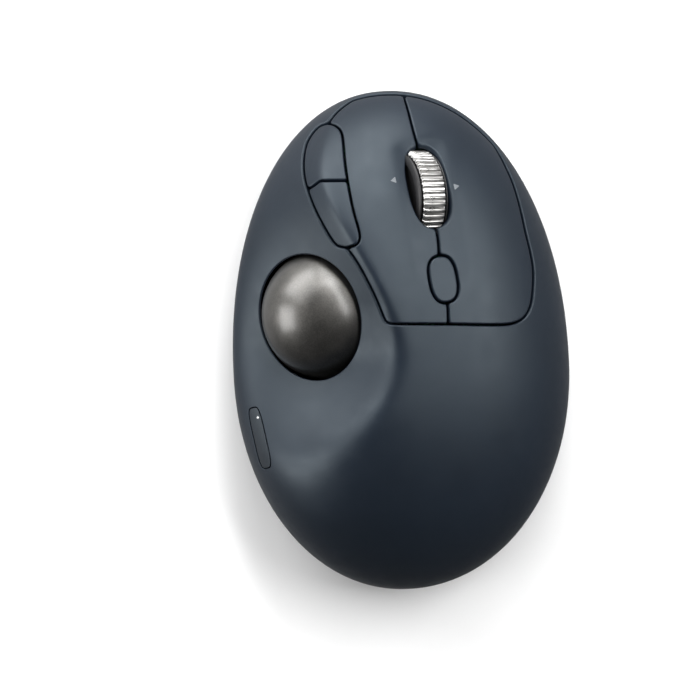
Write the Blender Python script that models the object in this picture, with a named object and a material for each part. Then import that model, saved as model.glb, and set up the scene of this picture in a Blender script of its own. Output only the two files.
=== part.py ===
"""Right-hand thumb trackball mouse, built in metres: +Y front, +X right, +Z up, feet on z = 0."""

import math

import bmesh
import bpy
import numpy as np
from mathutils import Matrix, Vector
from mathutils.geometry import delaunay_2d_cdt

MM = 0.001

# Plan outline: an egg of four quarter superellipses
EGG_CENTRE = (-0.83, -6.96)
EGG_RIGHT = 44.8
EGG_LEFT = 42.9
EGG_FRONT = 72.2
EGG_REAR = 58.0
EGG_POWER_FRONT = 2.10
EGG_POWER_REAR = 2.05
EGG_TURN = 0.05

# Top surface: a dome over the egg that leans right, scooped left of the crest line for the thumb
BELT_Z = 9.0
CROWN = 37.0
CROWN_LEAN = 0.25
CROWN_MIDDLE = -2.0
CROWN_HALF_WIDTH = 44.0
CROWN_NOSE_DROP = 0.10
CROWN_NOSE_LENGTH = 65.0
DOME_POWER = 2.3
SCOOP_DEPTH = 0.74
SCOOP_LENGTH = 18.5
SCOOP_POWER = 1.1
CREST_SHARP = 0.5
CREST_SOFTNESS = 1.1
CREST_FADE = 5.0
SOFTEN_FROM = 15.0
SOFTEN_OVER = 28.0
FADE_FROM = -16.0
FADE_OVER = 27.0
CREST_KEEN = 12
CREST_NEAR = 4.0
CREST_FAR = 12.0
CREST = [(-14.0, 64.0), (-18.9, 53.8), (-20.5, 43.2), (-18.0, 34.6), (-13.0, 25.4), (-7.6, 16.0),
         (-3.6, 7.4), (-1.5, -3.0), (-3.6, -12.4), (-9.0, -21.6), (-16.8, -29.0), (-26.4, -34.6),
         (-46.0, -38.5)]

# Wheel channel pressed into the dome
CHANNEL_DEPTH = 0.9
CHANNEL_WIDTH = 5.8
CHANNEL_FRONT = (4.1, 50.2)
CHANNEL_REAR = (10.8, 14.5)
CHANNEL_FRONT_FADE = 0.7
CHANNEL_REAR_FADE = 2.5
CHANNEL_REAR_SHORT = 2.0

SHELL = 1.8
GAP = 0.5
RIM_RHO = 0.978

# Wheel
SLOT_CENTRE = (6.25, 38.6)
SLOT_SIZE = (9.2, 20.5)
SLOT_TURN = math.radians(12.0)
WHEEL_R = 12.25
WHEEL_LEAN = math.radians(25.0)
WHEEL_PROUD = 4.1
WHEEL_AHEAD = 0.6
ROOM_CLEAR = 0.65
ROOM_HALF = 5.4
TREAD_WIDTH = 6.0
RIDGES = 48
RIDGE_DEPTH = 0.45
TREAD_BORE = 10.7
PIVOT = -13.7
ROCKER = -15.7

# Button behind the wheel
OVAL_CENTRE = (10.1, 15.2)
OVAL_SIZE = (7.1, 12.0)
OVAL_TURN = math.radians(10.0)

# Ball
BALL_R = 17.0
BALL = (-18.9, 6.8, 21.9)
BALL_AXIS = (-0.58, -0.13, 0.80)
OPENING_CENTRE = (-23.6, 5.8)
OPENING_SIZE = (25.3, 32.3)
OPENING_TURN = math.radians(16.0)
CUP_CLEAR = 0.6
CUP_WALL = 1.2
CUP_REACH = math.radians(96.0)
SKIRT_DROP = 16.4
SENSOR_WAY = (0.80, 0.0, -0.60)
REST_R = 1.3
REST_DOWN = math.radians(118.0)
REST_START = math.radians(35.0)

# Indicator window low on the left
WINDOW_AT = (-36.4, -25.0)
WINDOW_HOLE = (3.5, 16.1)
WINDOW_SIZE = (2.9, 15.5)
WINDOW_TURN = math.radians(13.5)

FLOOR_Z = 1.1
FLOOR_T = 1.3
BOARD_Z = 6.9
UPPER_Z = 19.0

# Fixings, switches, feet and cables
REAR_SCREWS = [(-30.0, -26.0), (30.0, -28.0)]
FRONT_SCREWS = [(-14.0, 47.0), (21.0, 43.0)]
LEFT_HINGE = (4.0, 4.6, 42.0)
RIGHT_HINGE = (22.0, 4.6, 39.0)
POWER_AT = (13.0, -14.0)
CONNECT_AT = (13.0, 4.0)
RECEIVER_AT = (10.2, -46.0)
USB_X = -4.0
USB_Z = 5.0
FEET = [(-20.0, 36.0, 5.0, 12.0, -20.0), (13.5, 49.0, 5.0, 12.0, 60.0), (-25.0, -36.5, 5.0, 13.0, 40.0),
        (25.0, -39.0, 5.0, 13.0, -35.0), (-35.0, 5.0, 4.5, 12.0, 0.0)]
MAIN_BOARD = [(4, -40), (20, -40), (25, -20), (27, 5), (25, 22), (16, 36), (9, 54), (2, 57), (-9, 57),
              (-10.4, 50), (-10.4, 29), (4, 26)]
UPPER_BOARD = [(-20, 29.5), (-21.5, 36), (-20.5, 43), (-16, 49), (-8, 55), (6, 56), (18, 48), (24, 38),
               (26, 14), (4.5, 8), (3.5, 24), (-3, 29.5)]
SENSOR_CABLE = [(3.7, 2.8, 10.0), (5.6, 1.2, 12.0), (8.0, -2.0, 10.8), (8.5, -3.0, 9.4)]
BATTERY_LEAD = [(2.2, -31.0, 10.0), (5.0, -30.5, 11.5), (7.6, -29.5, 10.6), (8.2, -29.0, 9.3)]


def clear_scene():
    for obj in list(bpy.data.objects):
        bpy.data.objects.remove(obj, do_unlink=True)


# ---------------------------------------------------------------- surface


def egg_rho(x, y):
    """1 on the plan outline, 0 at its centre."""
    c = math.cos(EGG_TURN)
    s = math.sin(EGG_TURN)
    u = c * (x - EGG_CENTRE[0]) + s * (y - EGG_CENTRE[1])
    v = -s * (x - EGG_CENTRE[0]) + c * (y - EGG_CENTRE[1])
    half = np.where(u > 0, EGG_RIGHT, EGG_LEFT)
    length = np.where(v > 0, EGG_FRONT, EGG_REAR)
    power = np.where(v > 0, EGG_POWER_FRONT, EGG_POWER_REAR)
    return (np.abs(u / half) ** power + np.abs(v / length) ** power) ** (1 / power)


def egg_point(angle, rho):
    ca = math.cos(angle)
    sa = math.sin(angle)
    power = EGG_POWER_FRONT if sa > 0 else EGG_POWER_REAR
    u = (EGG_RIGHT if ca > 0 else EGG_LEFT) * math.copysign(abs(ca) ** (2 / power), ca) * rho
    v = (EGG_FRONT if sa > 0 else EGG_REAR) * math.copysign(abs(sa) ** (2 / power), sa) * rho
    c = math.cos(EGG_TURN)
    s = math.sin(EGG_TURN)
    return (EGG_CENTRE[0] + c * u - s * v, EGG_CENTRE[1] + s * u + c * v)


def spline(points, steps):
    """Catmull-Rom curve through the points."""
    p = [Vector(q) for q in points]
    p = [2 * p[0] - p[1]] + p + [2 * p[-1] - p[-2]]
    made = []
    for i in range(1, len(p) - 2):
        for k in range(steps):
            t = k / steps
            a = 2 * p[i]
            b = (p[i + 1] - p[i - 1]) * t
            c = (2 * p[i - 1] - 5 * p[i] + 4 * p[i + 1] - p[i + 2]) * t * t
            d = (3 * p[i] - p[i - 1] - 3 * p[i + 1] + p[i + 2]) * t * t * t
            made.append(0.5 * (a + b + c + d))
    made.append(p[-2])
    return made


CREST_LINE = np.array(spline(CREST, 10))


def ease(t):
    t = np.clip(t, 0, 1)
    return t * t * (3 - 2 * t)


def crest_side(x, y):
    """Distance left of the crest line. Far from it the distance is softened, so the bend has no ridge."""
    points = np.stack([np.ravel(x), np.ravel(y)], axis=1)
    best = np.full(len(points), 1e9)
    sign = np.ones(len(points))
    pull = np.zeros(len(points))
    for a, b in zip(CREST_LINE, CREST_LINE[1:]):
        d = b - a
        t = np.clip(((points - a) @ d) / (d @ d), 0, 1)
        off = points - a - t[:, None] * d
        dist = np.hypot(off[:, 0], off[:, 1])
        cross = d[0] * off[:, 1] - d[1] * off[:, 0]
        near = dist < best - 1e-9
        best[near] = dist[near]
        sign[near] = np.where(cross[near] < 0, 1.0, -1.0)
        middle = points - (a + b) / 2
        pull += math.hypot(d[0], d[1]) / np.maximum(np.hypot(middle[:, 0], middle[:, 1]), 1.0) ** CREST_KEEN
    line_pull = math.sqrt(math.pi) * math.gamma((CREST_KEEN - 1) / 2) / math.gamma(CREST_KEEN / 2)
    soft = (pull / line_pull) ** (-1 / (CREST_KEEN - 1))
    blend = ease((best - CREST_NEAR) / (CREST_FAR - CREST_NEAR))
    return ((best + (soft - best) * blend) * sign).reshape(np.shape(x))


def channel(x, y):
    a = np.array(CHANNEL_FRONT)
    d = np.array(CHANNEL_REAR) - a
    length = math.hypot(d[0], d[1])
    t = ((x - a[0]) * d[0] + (y - a[1]) * d[1]) / length
    off = ((x - a[0]) * d[1] - (y - a[1]) * d[0]) / length
    ends = 1 / (1 + np.exp(-t / CHANNEL_FRONT_FADE))
    ends = ends / (1 + np.exp((t - length + CHANNEL_REAR_SHORT) / CHANNEL_REAR_FADE))
    return CHANNEL_DEPTH * ends * np.exp(-((off / CHANNEL_WIDTH) ** 4))


def surface(x, y):
    x = np.asarray(x, float)
    y = np.asarray(y, float)
    rho = np.clip(egg_rho(x, y), 0, 1)
    crown = CROWN * (1 - CROWN_LEAN * (x - CROWN_MIDDLE) / CROWN_HALF_WIDTH)
    crown = crown * (1 - CROWN_NOSE_DROP * np.clip(y / CROWN_NOSE_LENGTH, 0, 1) ** 2)
    dome = crown * np.sqrt(np.clip(1 - rho**DOME_POWER, 0, 1))
    left = crest_side(x, y)
    soft = CREST_SHARP + CREST_SOFTNESS * ease((SOFTEN_FROM - y) / SOFTEN_OVER)
    soft = soft + CREST_FADE * ease((FADE_FROM - y) / FADE_OVER)
    left = np.maximum(left, 0) + soft * np.log1p(np.exp(-np.abs(left / soft)))
    scoop = SCOOP_DEPTH * (1 - np.exp(-((left / SCOOP_LENGTH) ** SCOOP_POWER)))
    return BELT_Z + dome * (1 - scoop) - channel(x, y) * np.clip((1 - rho) / 0.1, 0, 1)


def normals(x, y):
    """Outward unit normals. The slope is measured inward of the rim, where the dome stands upright."""
    x = np.asarray(x, float)
    y = np.asarray(y, float)
    e = 0.02
    rho = egg_rho(x, y)
    pull = np.minimum(1, 0.9985 / np.maximum(rho, 1e-6))
    px = EGG_CENTRE[0] + (x - EGG_CENTRE[0]) * pull
    py = EGG_CENTRE[1] + (y - EGG_CENTRE[1]) * pull
    gx = (surface(px + e, py) - surface(px - e, py)) / (2 * e)
    gy = (surface(px, py + e) - surface(px, py - e)) / (2 * e)
    n = np.stack([-gx, -gy, np.ones_like(gx)], axis=-1)
    return n / np.linalg.norm(n, axis=-1, keepdims=True)


def height(x, y):
    return float(surface(x, y))


# ---------------------------------------------------------------- plan loops


def pill(centre, size, turn, count, power=2.6):
    """A rounded slot, counterclockwise from its front end."""
    made = []
    for i in range(count):
        t = math.pi / 2 + 2 * math.pi * i / count
        u = size[0] / 2 * math.copysign(abs(math.cos(t)) ** (2 / power), math.cos(t))
        v = size[1] / 2 * math.copysign(abs(math.sin(t)) ** (2 / power), math.sin(t))
        made.append((centre[0] + u * math.cos(turn) - v * math.sin(turn),
                     centre[1] + u * math.sin(turn) + v * math.cos(turn)))
    return made


def resample(points, spacing, closed):
    p = [Vector(q) for q in points]
    if closed:
        p.append(p[0])
    lengths = [0.0]
    for a, b in zip(p, p[1:]):
        lengths.append(lengths[-1] + (b - a).length)
    count = max(1, round(lengths[-1] / spacing))
    made = []
    k = 0
    for i in range(count if closed else count + 1):
        s = lengths[-1] * i / count
        while k < len(p) - 2 and lengths[k + 1] < s:
            k += 1
        t = (s - lengths[k]) / max(1e-9, lengths[k + 1] - lengths[k])
        made.append(tuple(p[k].lerp(p[k + 1], min(1.0, t))))
    return made


def offset(loop, distance):
    """The closed loop moved outwards by distance, inwards if negative."""
    count = len(loop)
    area = sum(loop[i][0] * loop[(i + 1) % count][1] - loop[(i + 1) % count][0] * loop[i][1]
               for i in range(count))
    way = distance if area > 0 else -distance
    made = []
    for i in range(count):
        p = Vector(loop[i])
        a = (p - Vector(loop[i - 1])).normalized()
        b = (Vector(loop[(i + 1) % count]) - p).normalized()
        na = Vector((a.y, -a.x))
        nb = Vector((b.y, -b.x))
        n = (na + nb).normalized()
        made.append(tuple(p + n * way / max(0.5, n.dot(na))))
    return made


def keep_inside(points, most):
    """Points beyond the rim are drawn in to it."""
    made = []
    for x, y in points:
        rho = float(egg_rho(x, y))
        pull = min(1.0, most / max(rho, 1e-6))
        made.append((EGG_CENTRE[0] + (x - EGG_CENTRE[0]) * pull,
                     EGG_CENTRE[1] + (y - EGG_CENTRE[1]) * pull))
    return made


def inside(points, loop):
    """Even-odd test of many points against one loop."""
    x = points[:, 0]
    y = points[:, 1]
    hit = np.zeros(len(points), bool)
    count = len(loop)
    for i in range(count):
        x0, y0 = loop[i]
        x1, y1 = loop[(i + 1) % count]
        if y0 == y1:
            continue
        cross = ((y0 > y) != (y1 > y)) & (x < (x1 - x0) * (y - y0) / (y1 - y0) + x0)
        hit ^= cross
    return hit


def loop_distance(points, loop):
    best = np.full(len(points), 1e9)
    count = len(loop)
    for i in range(count):
        a = np.array(loop[i])
        d = np.array(loop[(i + 1) % count]) - a
        t = np.clip(((points - a) @ d) / max(1e-12, d @ d), 0, 1)
        off = points - a - t[:, None] * d
        best = np.minimum(best, np.hypot(off[:, 0], off[:, 1]))
    return best


# ---------------------------------------------------------------- meshes


def new_object(name, points, faces, smooth=35):
    mesh = bpy.data.meshes.new(name)
    mesh.from_pydata([tuple(c * MM for c in p) for p in points], [], faces)
    bm = bmesh.new()
    bm.from_mesh(mesh)
    bmesh.ops.recalc_face_normals(bm, faces=bm.faces)
    bm.to_mesh(mesh)
    bm.free()
    obj = bpy.data.objects.new(name, mesh)
    bpy.context.scene.collection.objects.link(obj)
    mesh.shade_smooth()
    mesh.set_sharp_from_angle(angle=math.radians(smooth))
    return obj


def plate(name, outer, holes, spacing, thickness, top=0.0, rings=(), wide_holes=()):
    """A piece of the curved shell: the plan region lifted to the surface and given a thickness.

    wide_holes lists (hole number, distance): that hole's inner edge is moved away from the hole.
    """
    loops = [list(outer)] + [list(h) for h in holes]
    edge = [p for loop in loops for p in loop]
    lows = np.min(np.array(outer), axis=0)
    highs = np.max(np.array(outer), axis=0)
    grid = []
    row = 0
    y = lows[1]
    while y <= highs[1]:
        x = lows[0] + (spacing / 2 if row % 2 else 0.0)
        while x <= highs[0]:
            grid.append((x, y))
            x += spacing
        y += spacing * 0.866
        row += 1
    if rings:
        grid = [p for p in grid if float(egg_rho(p[0], p[1])) < rings[0][0] - 0.6 * spacing / 50]
        for k, (rho, count) in enumerate(rings):
            shift = 0.5 * ((len(rings) - k) % 2)
            grid += [egg_point(2 * math.pi * (i + shift) / count, rho) for i in range(count)]
    grid = np.array(grid)
    keep = inside(grid, loops[0]) & (loop_distance(grid, loops[0]) > (0.05 if rings else 0.55 * spacing))
    for hole in loops[1:]:
        keep &= ~inside(grid, hole)
        keep &= loop_distance(grid, hole) > 0.55 * spacing
    plan = [Vector(p) for p in edge] + [Vector(p) for p in grid[keep]]
    starts = np.cumsum([0] + [len(loop) for loop in loops])
    bounds = []
    for k, loop in enumerate(loops):
        n = len(loop)
        bounds += [(starts[k] + i, starts[k] + (i + 1) % n) for i in range(n)]
    bounds = [(int(a), int(b)) for a, b in bounds]
    verts, _, tris, _, _, _ = delaunay_2d_cdt(plan, bounds, [], 0, 1e-7, False)
    flat = np.array([tuple(v) for v in verts])
    mids = np.array([flat[list(t)].mean(axis=0) for t in tris])
    good = inside(mids, loops[0])
    for hole in loops[1:]:
        good &= ~inside(mids, hole)
    tris = [t for t, g in zip(tris, good) if g]
    n = normals(flat[:, 0], flat[:, 1])
    upper = np.column_stack([flat, surface(flat[:, 0], flat[:, 1])]) + n * top
    lower = upper - n * thickness
    lower[:, 2] = np.maximum(lower[:, 2], BELT_Z + 0.2)
    if rings:
        rim = egg_rho(flat[:, 0], flat[:, 1]) > 0.9995
        upper[rim, 2] = BELT_Z + 0.2
    for which, distance in wide_holes:
        middle = np.mean(np.array(loops[which + 1]), axis=0)
        for i in range(starts[which + 1], starts[which + 2]):
            away = flat[i] - middle
            lower[i, :2] += away / np.linalg.norm(away) * distance
    count = len(flat)
    faces = [tuple(t) for t in tris] + [tuple(i + count for i in reversed(t)) for t in tris]
    seen = {}
    for a, b, c in tris:
        for e in ((a, b), (b, c), (c, a)):
            seen[e] = True
    faces += [(b, a, a + count, b + count) for a, b in seen if (b, a) not in seen]
    used = sorted({i for f in faces for i in f})
    index = {old: new for new, old in enumerate(used)}
    points = np.vstack([upper, lower])[used]
    return new_object(name, [tuple(p) for p in points], [tuple(index[i] for i in f) for f in faces], 40)


def prism(name, loop, z0, z1):
    n = len(loop)
    points = [(x, y, z0) for x, y in loop] + [(x, y, z1) for x, y in loop]
    faces = [tuple(range(n)), tuple(range(n, 2 * n))]
    faces += [(i, (i + 1) % n, n + (i + 1) % n, n + i) for i in range(n)]
    return new_object(name, points, faces)


def box(name, centre, size, frame=None):
    hx, hy, hz = (s / 2 for s in size)
    points = [Vector((sx * hx, sy * hy, sz * hz)) for sz in (-1, 1) for sy in (-1, 1) for sx in (-1, 1)]
    faces = [(0, 1, 3, 2), (4, 5, 7, 6), (0, 1, 5, 4), (2, 3, 7, 6), (0, 2, 6, 4), (1, 3, 7, 5)]
    turn = frame if frame is not None else Matrix.Identity(3)
    return new_object(name, [turn @ p + Vector(centre) for p in points], faces)


def basis(axis, toward=(0.0, 1.0, 0.0)):
    """A turn whose third column is the axis."""
    z = Vector(axis).normalized()
    y = (Vector(toward) - z * z.dot(Vector(toward))).normalized()
    x = y.cross(z)
    return Matrix((x, y, z)).transposed()


def lathe(name, profile, count, origin=(0, 0, 0), frame=None, smooth=35):
    """Turns a profile of (radius, height) about the frame's third axis. A radius of 0 makes a pole."""
    turn = frame if frame is not None else Matrix.Identity(3)
    points = []
    rows = []
    for r, z in profile:
        if r < 1e-6:
            rows.append([len(points)])
            points.append(turn @ Vector((0, 0, z)) + Vector(origin))
            continue
        rows.append(list(range(len(points), len(points) + count)))
        for i in range(count):
            a = 2 * math.pi * i / count
            points.append(turn @ Vector((r * math.cos(a), r * math.sin(a), z)) + Vector(origin))
    faces = []
    ends = list(zip(rows, rows[1:]))
    if len(rows[0]) > 1 or len(rows[-1]) > 1:
        ends.append((rows[-1], rows[0]))
    for a, b in ends:
        for i in range(count):
            j = (i + 1) % count
            if len(a) == 1 and len(b) == 1:
                continue
            if len(a) == 1:
                faces.append((a[0], b[i], b[j]))
            elif len(b) == 1:
                faces.append((a[i], b[0], a[j]))
            else:
                faces.append((a[i], b[i], b[j], a[j]))
    return new_object(name, points, faces, smooth)


def cylinder(name, base, axis, radius, length, count=20):
    return lathe(name, [(0, 0), (radius, 0), (radius, length), (0, length)], count, base, basis(axis))


def tube(name, path, radius, sides=8):
    """A cable along a smooth path."""
    line = spline(path, 5)
    points = []
    for i, p in enumerate(line):
        ahead = (line[min(i + 1, len(line) - 1)] - line[max(i - 1, 0)]).normalized()
        turn = basis(ahead, (0.13, 0.24, 0.96))
        for k in range(sides):
            a = 2 * math.pi * k / sides
            points.append(p + turn @ Vector((radius * math.cos(a), radius * math.sin(a), 0)))
    n = len(line)
    faces = [tuple(range(sides)), tuple(range((n - 1) * sides, n * sides))]
    for i in range(n - 1):
        for k in range(sides):
            j = (k + 1) % sides
            faces.append((i * sides + k, i * sides + j, (i + 1) * sides + j, (i + 1) * sides + k))
    return new_object(name, points, faces)


def combine(obj, others, operation):
    """Boolean with each helper in turn. The helpers are used up."""
    for other in others:
        step = obj.modifiers.new("step", "BOOLEAN")
        step.operation = operation
        step.solver = "EXACT"
        step.object = other
        graph = bpy.context.evaluated_depsgraph_get()
        made = bpy.data.meshes.new_from_object(obj.evaluated_get(graph))
        obj.modifiers.clear()
        obj.data = made
        bpy.data.objects.remove(other, do_unlink=True)
    obj.data.shade_smooth()
    obj.data.set_sharp_from_angle(angle=math.radians(40))
    return obj


def cut(obj, *others):
    return combine(obj, others, "DIFFERENCE")


def join(obj, *others):
    return combine(obj, others, "UNION")


def paint(obj, colour, roughness, metallic=0.0):
    material = bpy.data.materials.new(obj.name)
    material.use_nodes = True
    shader = material.node_tree.nodes["Principled BSDF"]
    shader.inputs["Base Color"].default_value = (*colour, 1.0)
    shader.inputs["Roughness"].default_value = roughness
    shader.inputs["Metallic"].default_value = metallic
    obj.data.materials.clear()
    obj.data.materials.append(material)


def set_origin(obj, point):
    p = Vector(point) * MM
    obj.data.transform(Matrix.Translation(-p))
    obj.location = p


def ring_loop(count):
    """The ball opening seen from above."""
    return pill(OPENING_CENTRE, OPENING_SIZE, OPENING_TURN, count, 2.0)


# ---------------------------------------------------------------- plan of the top pieces

BUTTON_LEFT_EDGE = [(-12.0, 19.8), (-9.6, 15.6), (-6.9, 10.1), (-5.1, 5.7), (-4.3, 4.3), (-3.0, 3.9)]
BUTTON_REAR_EDGE = [(11.3, 3.9), (23.5, 3.8), (28.0, 4.2), (30.8, 5.6), (32.5, 8.2), (33.3, 12.0)]
BUTTON_RIGHT_EDGE = [(33.6, 17.6), (32.9, 22.5), (31.7, 27.7), (30.5, 33.7), (29.0, 39.6), (27.2, 44.2),
                     (24.8, 49.2), (21.2, 54.6), (15.4, 60.0), (8.6, 64.7), (0.6, 66.0)]
BUTTON_FRONT_EDGE = [(-6.0, 65.5), (-11.5, 62.8), (-16.2, 59.2)]
SIDE_TOP = (-19.0, 55.6)
SIDE_END = (-14.2, 22.9)
SIDE_RIGHT_EDGE = [(-17.1, 54.9), (-15.7, 53.4), (-15.1, 50.8), (-14.5, 44.4), (-13.6, 38.4), (-12.5, 32.7),
                   (-11.1, 27.6), (-10.8, 25.3), (-11.7, 23.7)]
SIDE_LEFT_EDGE = [(-16.4, 23.4), (-17.8, 24.9), (-19.8, 28.2), (-22.0, 32.5), (-23.7, 36.8), (-24.9, 41.2),
                  (-25.2, 45.8), (-24.5, 50.3), (-22.8, 53.4), (-21.0, 55.1)]
SIDE_SPLIT_LEFT = (-24.2, 38.1)
SIDE_SPLIT = [(-22.6, 38.9), (-20.7, 40.2), (-20.0, 40.1)]
SIDE_SPLIT_RIGHT = (-13.9, 40.0)
MID_FRONT = [(1.7, 58.6), (3.1, 52.3)]
MID_REAR = [(8.9, 24.4)]
REAR_JOIN = (11.3, 3.9)
FRONT_JOIN = (0.6, 66.0)


def smooth_chain(points, spacing):
    return resample(spline(points, 8), spacing, False)


def top_plan(spacing):
    """The loops that the buttons and the shell are cut along, before the gaps."""
    slot = pill(SLOT_CENTRE, SLOT_SIZE, SLOT_TURN, 4 * round(56 / spacing / 4))
    oval = pill(OVAL_CENTRE, OVAL_SIZE, OVAL_TURN, 4 * round(36 / spacing / 4))
    side_right = smooth_chain([SIDE_TOP] + SIDE_RIGHT_EDGE + [SIDE_END], spacing)
    side_left = smooth_chain([SIDE_END] + SIDE_LEFT_EDGE + [SIDE_TOP], spacing)
    left_edge = smooth_chain([SIDE_END] + BUTTON_LEFT_EDGE, spacing)
    rear_left = resample([BUTTON_LEFT_EDGE[-1], REAR_JOIN], spacing, False)
    rear_right = keep_inside(smooth_chain(BUTTON_REAR_EDGE + BUTTON_RIGHT_EDGE, spacing), RIM_RHO)
    front_left = keep_inside(smooth_chain([FRONT_JOIN] + BUTTON_FRONT_EDGE + [SIDE_TOP], spacing), RIM_RHO)
    middle_front = resample([front_left[0]] + MID_FRONT + [slot[0]], spacing, False)
    half = len(slot) // 2
    middle_mid = resample([slot[half]] + MID_REAR + [oval[0]], spacing, False)
    oval_half = len(oval) // 2
    middle_rear = resample([oval[oval_half], REAR_JOIN], spacing, False)
    along_left = (middle_front[:-1] + slot[:half] + middle_mid[:-1] + oval[:oval_half] + middle_rear)
    slot_right = [slot[0]] + slot[:half - 1:-1]
    oval_right = [oval[0]] + oval[:oval_half - 1:-1]
    along_right = middle_front[:-1] + slot_right[:-1] + middle_mid[:-1] + oval_right[:-1] + middle_rear
    left = front_left[:-1] + side_right[:-1] + left_edge[:-1] + rear_left[:-1] + along_left[::-1][:-1]
    right = rear_right[:-1] + along_right[:-1]
    split = smooth_chain([SIDE_SPLIT_LEFT] + SIDE_SPLIT + [SIDE_SPLIT_RIGHT], spacing)
    near_left = min(range(len(side_left)), key=lambda i: math.dist(side_left[i], SIDE_SPLIT_LEFT))
    near_right = min(range(len(side_right)), key=lambda i: math.dist(side_right[i], SIDE_SPLIT_RIGHT))
    split[0] = side_left[near_left]
    split[-1] = side_right[near_right]
    forward = side_left[near_left:-1] + side_right[:near_right] + split[::-1][:-1]
    back = side_right[near_right:-1] + side_left[:near_left] + split[:-1]
    hole = front_left[:-1] + side_left[::-1][:-1] + left_edge[:-1] + rear_left[:-1] + rear_right[:-1]
    return {"left": left, "right": right, "forward": forward, "back": back, "hole": hole, "oval": oval}


def inner_post(name, x, y, z_low, radius):
    """A rib from under the shell down to a switch."""
    n = normals(x, y)
    top = height(x, y) - 0.6 * SHELL / float(n[2])
    return cylinder(name, (x, y, z_low), (0, 0, 1), radius, top - z_low, 12)


# ---------------------------------------------------------------- build

SLATE = (0.045, 0.055, 0.068)
BLACK = (0.012, 0.013, 0.015)
STEEL = (0.62, 0.62, 0.62)
PEWTER = (0.30, 0.28, 0.26)
BOARD = (0.02, 0.10, 0.05)


def wheel_frame():
    """The wheel's own frame: axle, tangent to the shell towards the front, and up. Then its centre."""
    right = Vector((math.cos(SLOT_TURN), math.sin(SLOT_TURN), 0))
    ahead = Vector((-math.sin(SLOT_TURN), math.cos(SLOT_TURN), 0))
    over = Vector((SLOT_CENTRE[0], SLOT_CENTRE[1], height(*SLOT_CENTRE)))
    nose = over + ahead * 9
    tail = over - ahead * 9
    drop = math.atan((height(tail.x, tail.y) - height(nose.x, nose.y)) / 18)
    front = ahead * math.cos(drop) - Vector((0, 0, math.sin(drop)))
    up = right.cross(front) * math.cos(WHEEL_LEAN) + right * math.sin(WHEEL_LEAN)
    axle = front.cross(up)
    turn = Matrix((axle, front, up)).transposed()
    return turn, over + front * WHEEL_AHEAD - up * (WHEEL_R - WHEEL_PROUD)


def wheel_room():
    """The space that the wheel needs inside the slot."""
    turn, middle = wheel_frame()
    to_axle = turn @ Matrix(((0, 0, 1), (1, 0, 0), (0, 1, 0)))
    radius = WHEEL_R + ROOM_CLEAR
    section = [(0, -ROOM_HALF), (radius, -ROOM_HALF), (radius, ROOM_HALF), (0, ROOM_HALF)]
    return lathe("room", section, 56, middle, to_axle)


def build_top():
    plan = top_plan(3.0)
    half = GAP / 2
    rim = [egg_point(2 * math.pi * i / 92, 1.0) for i in range(92)]
    hole = offset(plan["hole"], half)
    ring = ring_loop(44)
    window = pill(WINDOW_AT, WINDOW_HOLE, WINDOW_TURN, 28, 4.0)
    rings = ((0.89, 92), (0.93, 92), (0.96, 92), (0.98, 92), (0.9925, 92), (0.998, 92))
    shell = plate("top_shell", rim, [hole, ring, window], 4.6, SHELL, 0.0, rings, [(1, 1.0)])
    paint(shell, SLATE, 0.55)
    posts = []
    for x, y in REAR_SCREWS:
        lowest = min(height(x + dx, y + dy) for dx in (-2.7, 0, 2.7) for dy in (-2.7, 0, 2.7))
        posts.append(cylinder("boss", (x, y, 3.9), (0, 0, 1), 2.7, lowest - 3.9 - 0.7, 16))
    join(shell, *posts)
    pilots = [cylinder("pilot", (x, y, 3.0), (0, 0, 1), 1.45, 10.5, 12) for x, y in REAR_SCREWS]
    cut(shell, *pilots)
    paint(shell, SLATE, 0.55)

    loop = pill(WINDOW_AT, WINDOW_SIZE, WINDOW_TURN, 28, 4.0)
    lens = plate("indicator_lens", loop, [], 3.0, 1.2)
    paint(lens, BLACK, 0.25)

    made = {}
    for key in ("left", "right", "forward", "back"):
        loop = offset(plan[key], -half)
        made[key] = plate(key + "_button", loop, [], 4.2, SHELL)
    made["dpi"] = plate("dpi_button", offset(plan["oval"], -half), [], 2.6, SHELL, -0.15)
    join(made["left"], inner_post("rib", -10.4, 37.4, 25.9, 1.5))
    join(made["right"], inner_post("rib", 19.2, 31.6, 24.3, 1.5))
    join(made["dpi"], inner_post("rib", *OVAL_CENTRE, 27.0, 1.3))
    join(made["forward"], inner_post("rib", -17.5, 44.0, 23.9, 1.3))
    join(made["back"], inner_post("rib", -17.5, 34.5, 23.9, 1.3))
    for piece in made.values():
        paint(piece, SLATE, 0.55)
    for key in ("left", "right"):
        cut(made[key], wheel_room())
        paint(made[key], SLATE, 0.55)
    for key, at in (("left", LEFT_HINGE), ("right", RIGHT_HINGE)):
        set_origin(made[key], at)
    for key, at in (("forward", (-19.5, 47.0)), ("back", (-17.5, 33.0)), ("dpi", OVAL_CENTRE)):
        set_origin(made[key], (*at, height(*at)))


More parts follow.
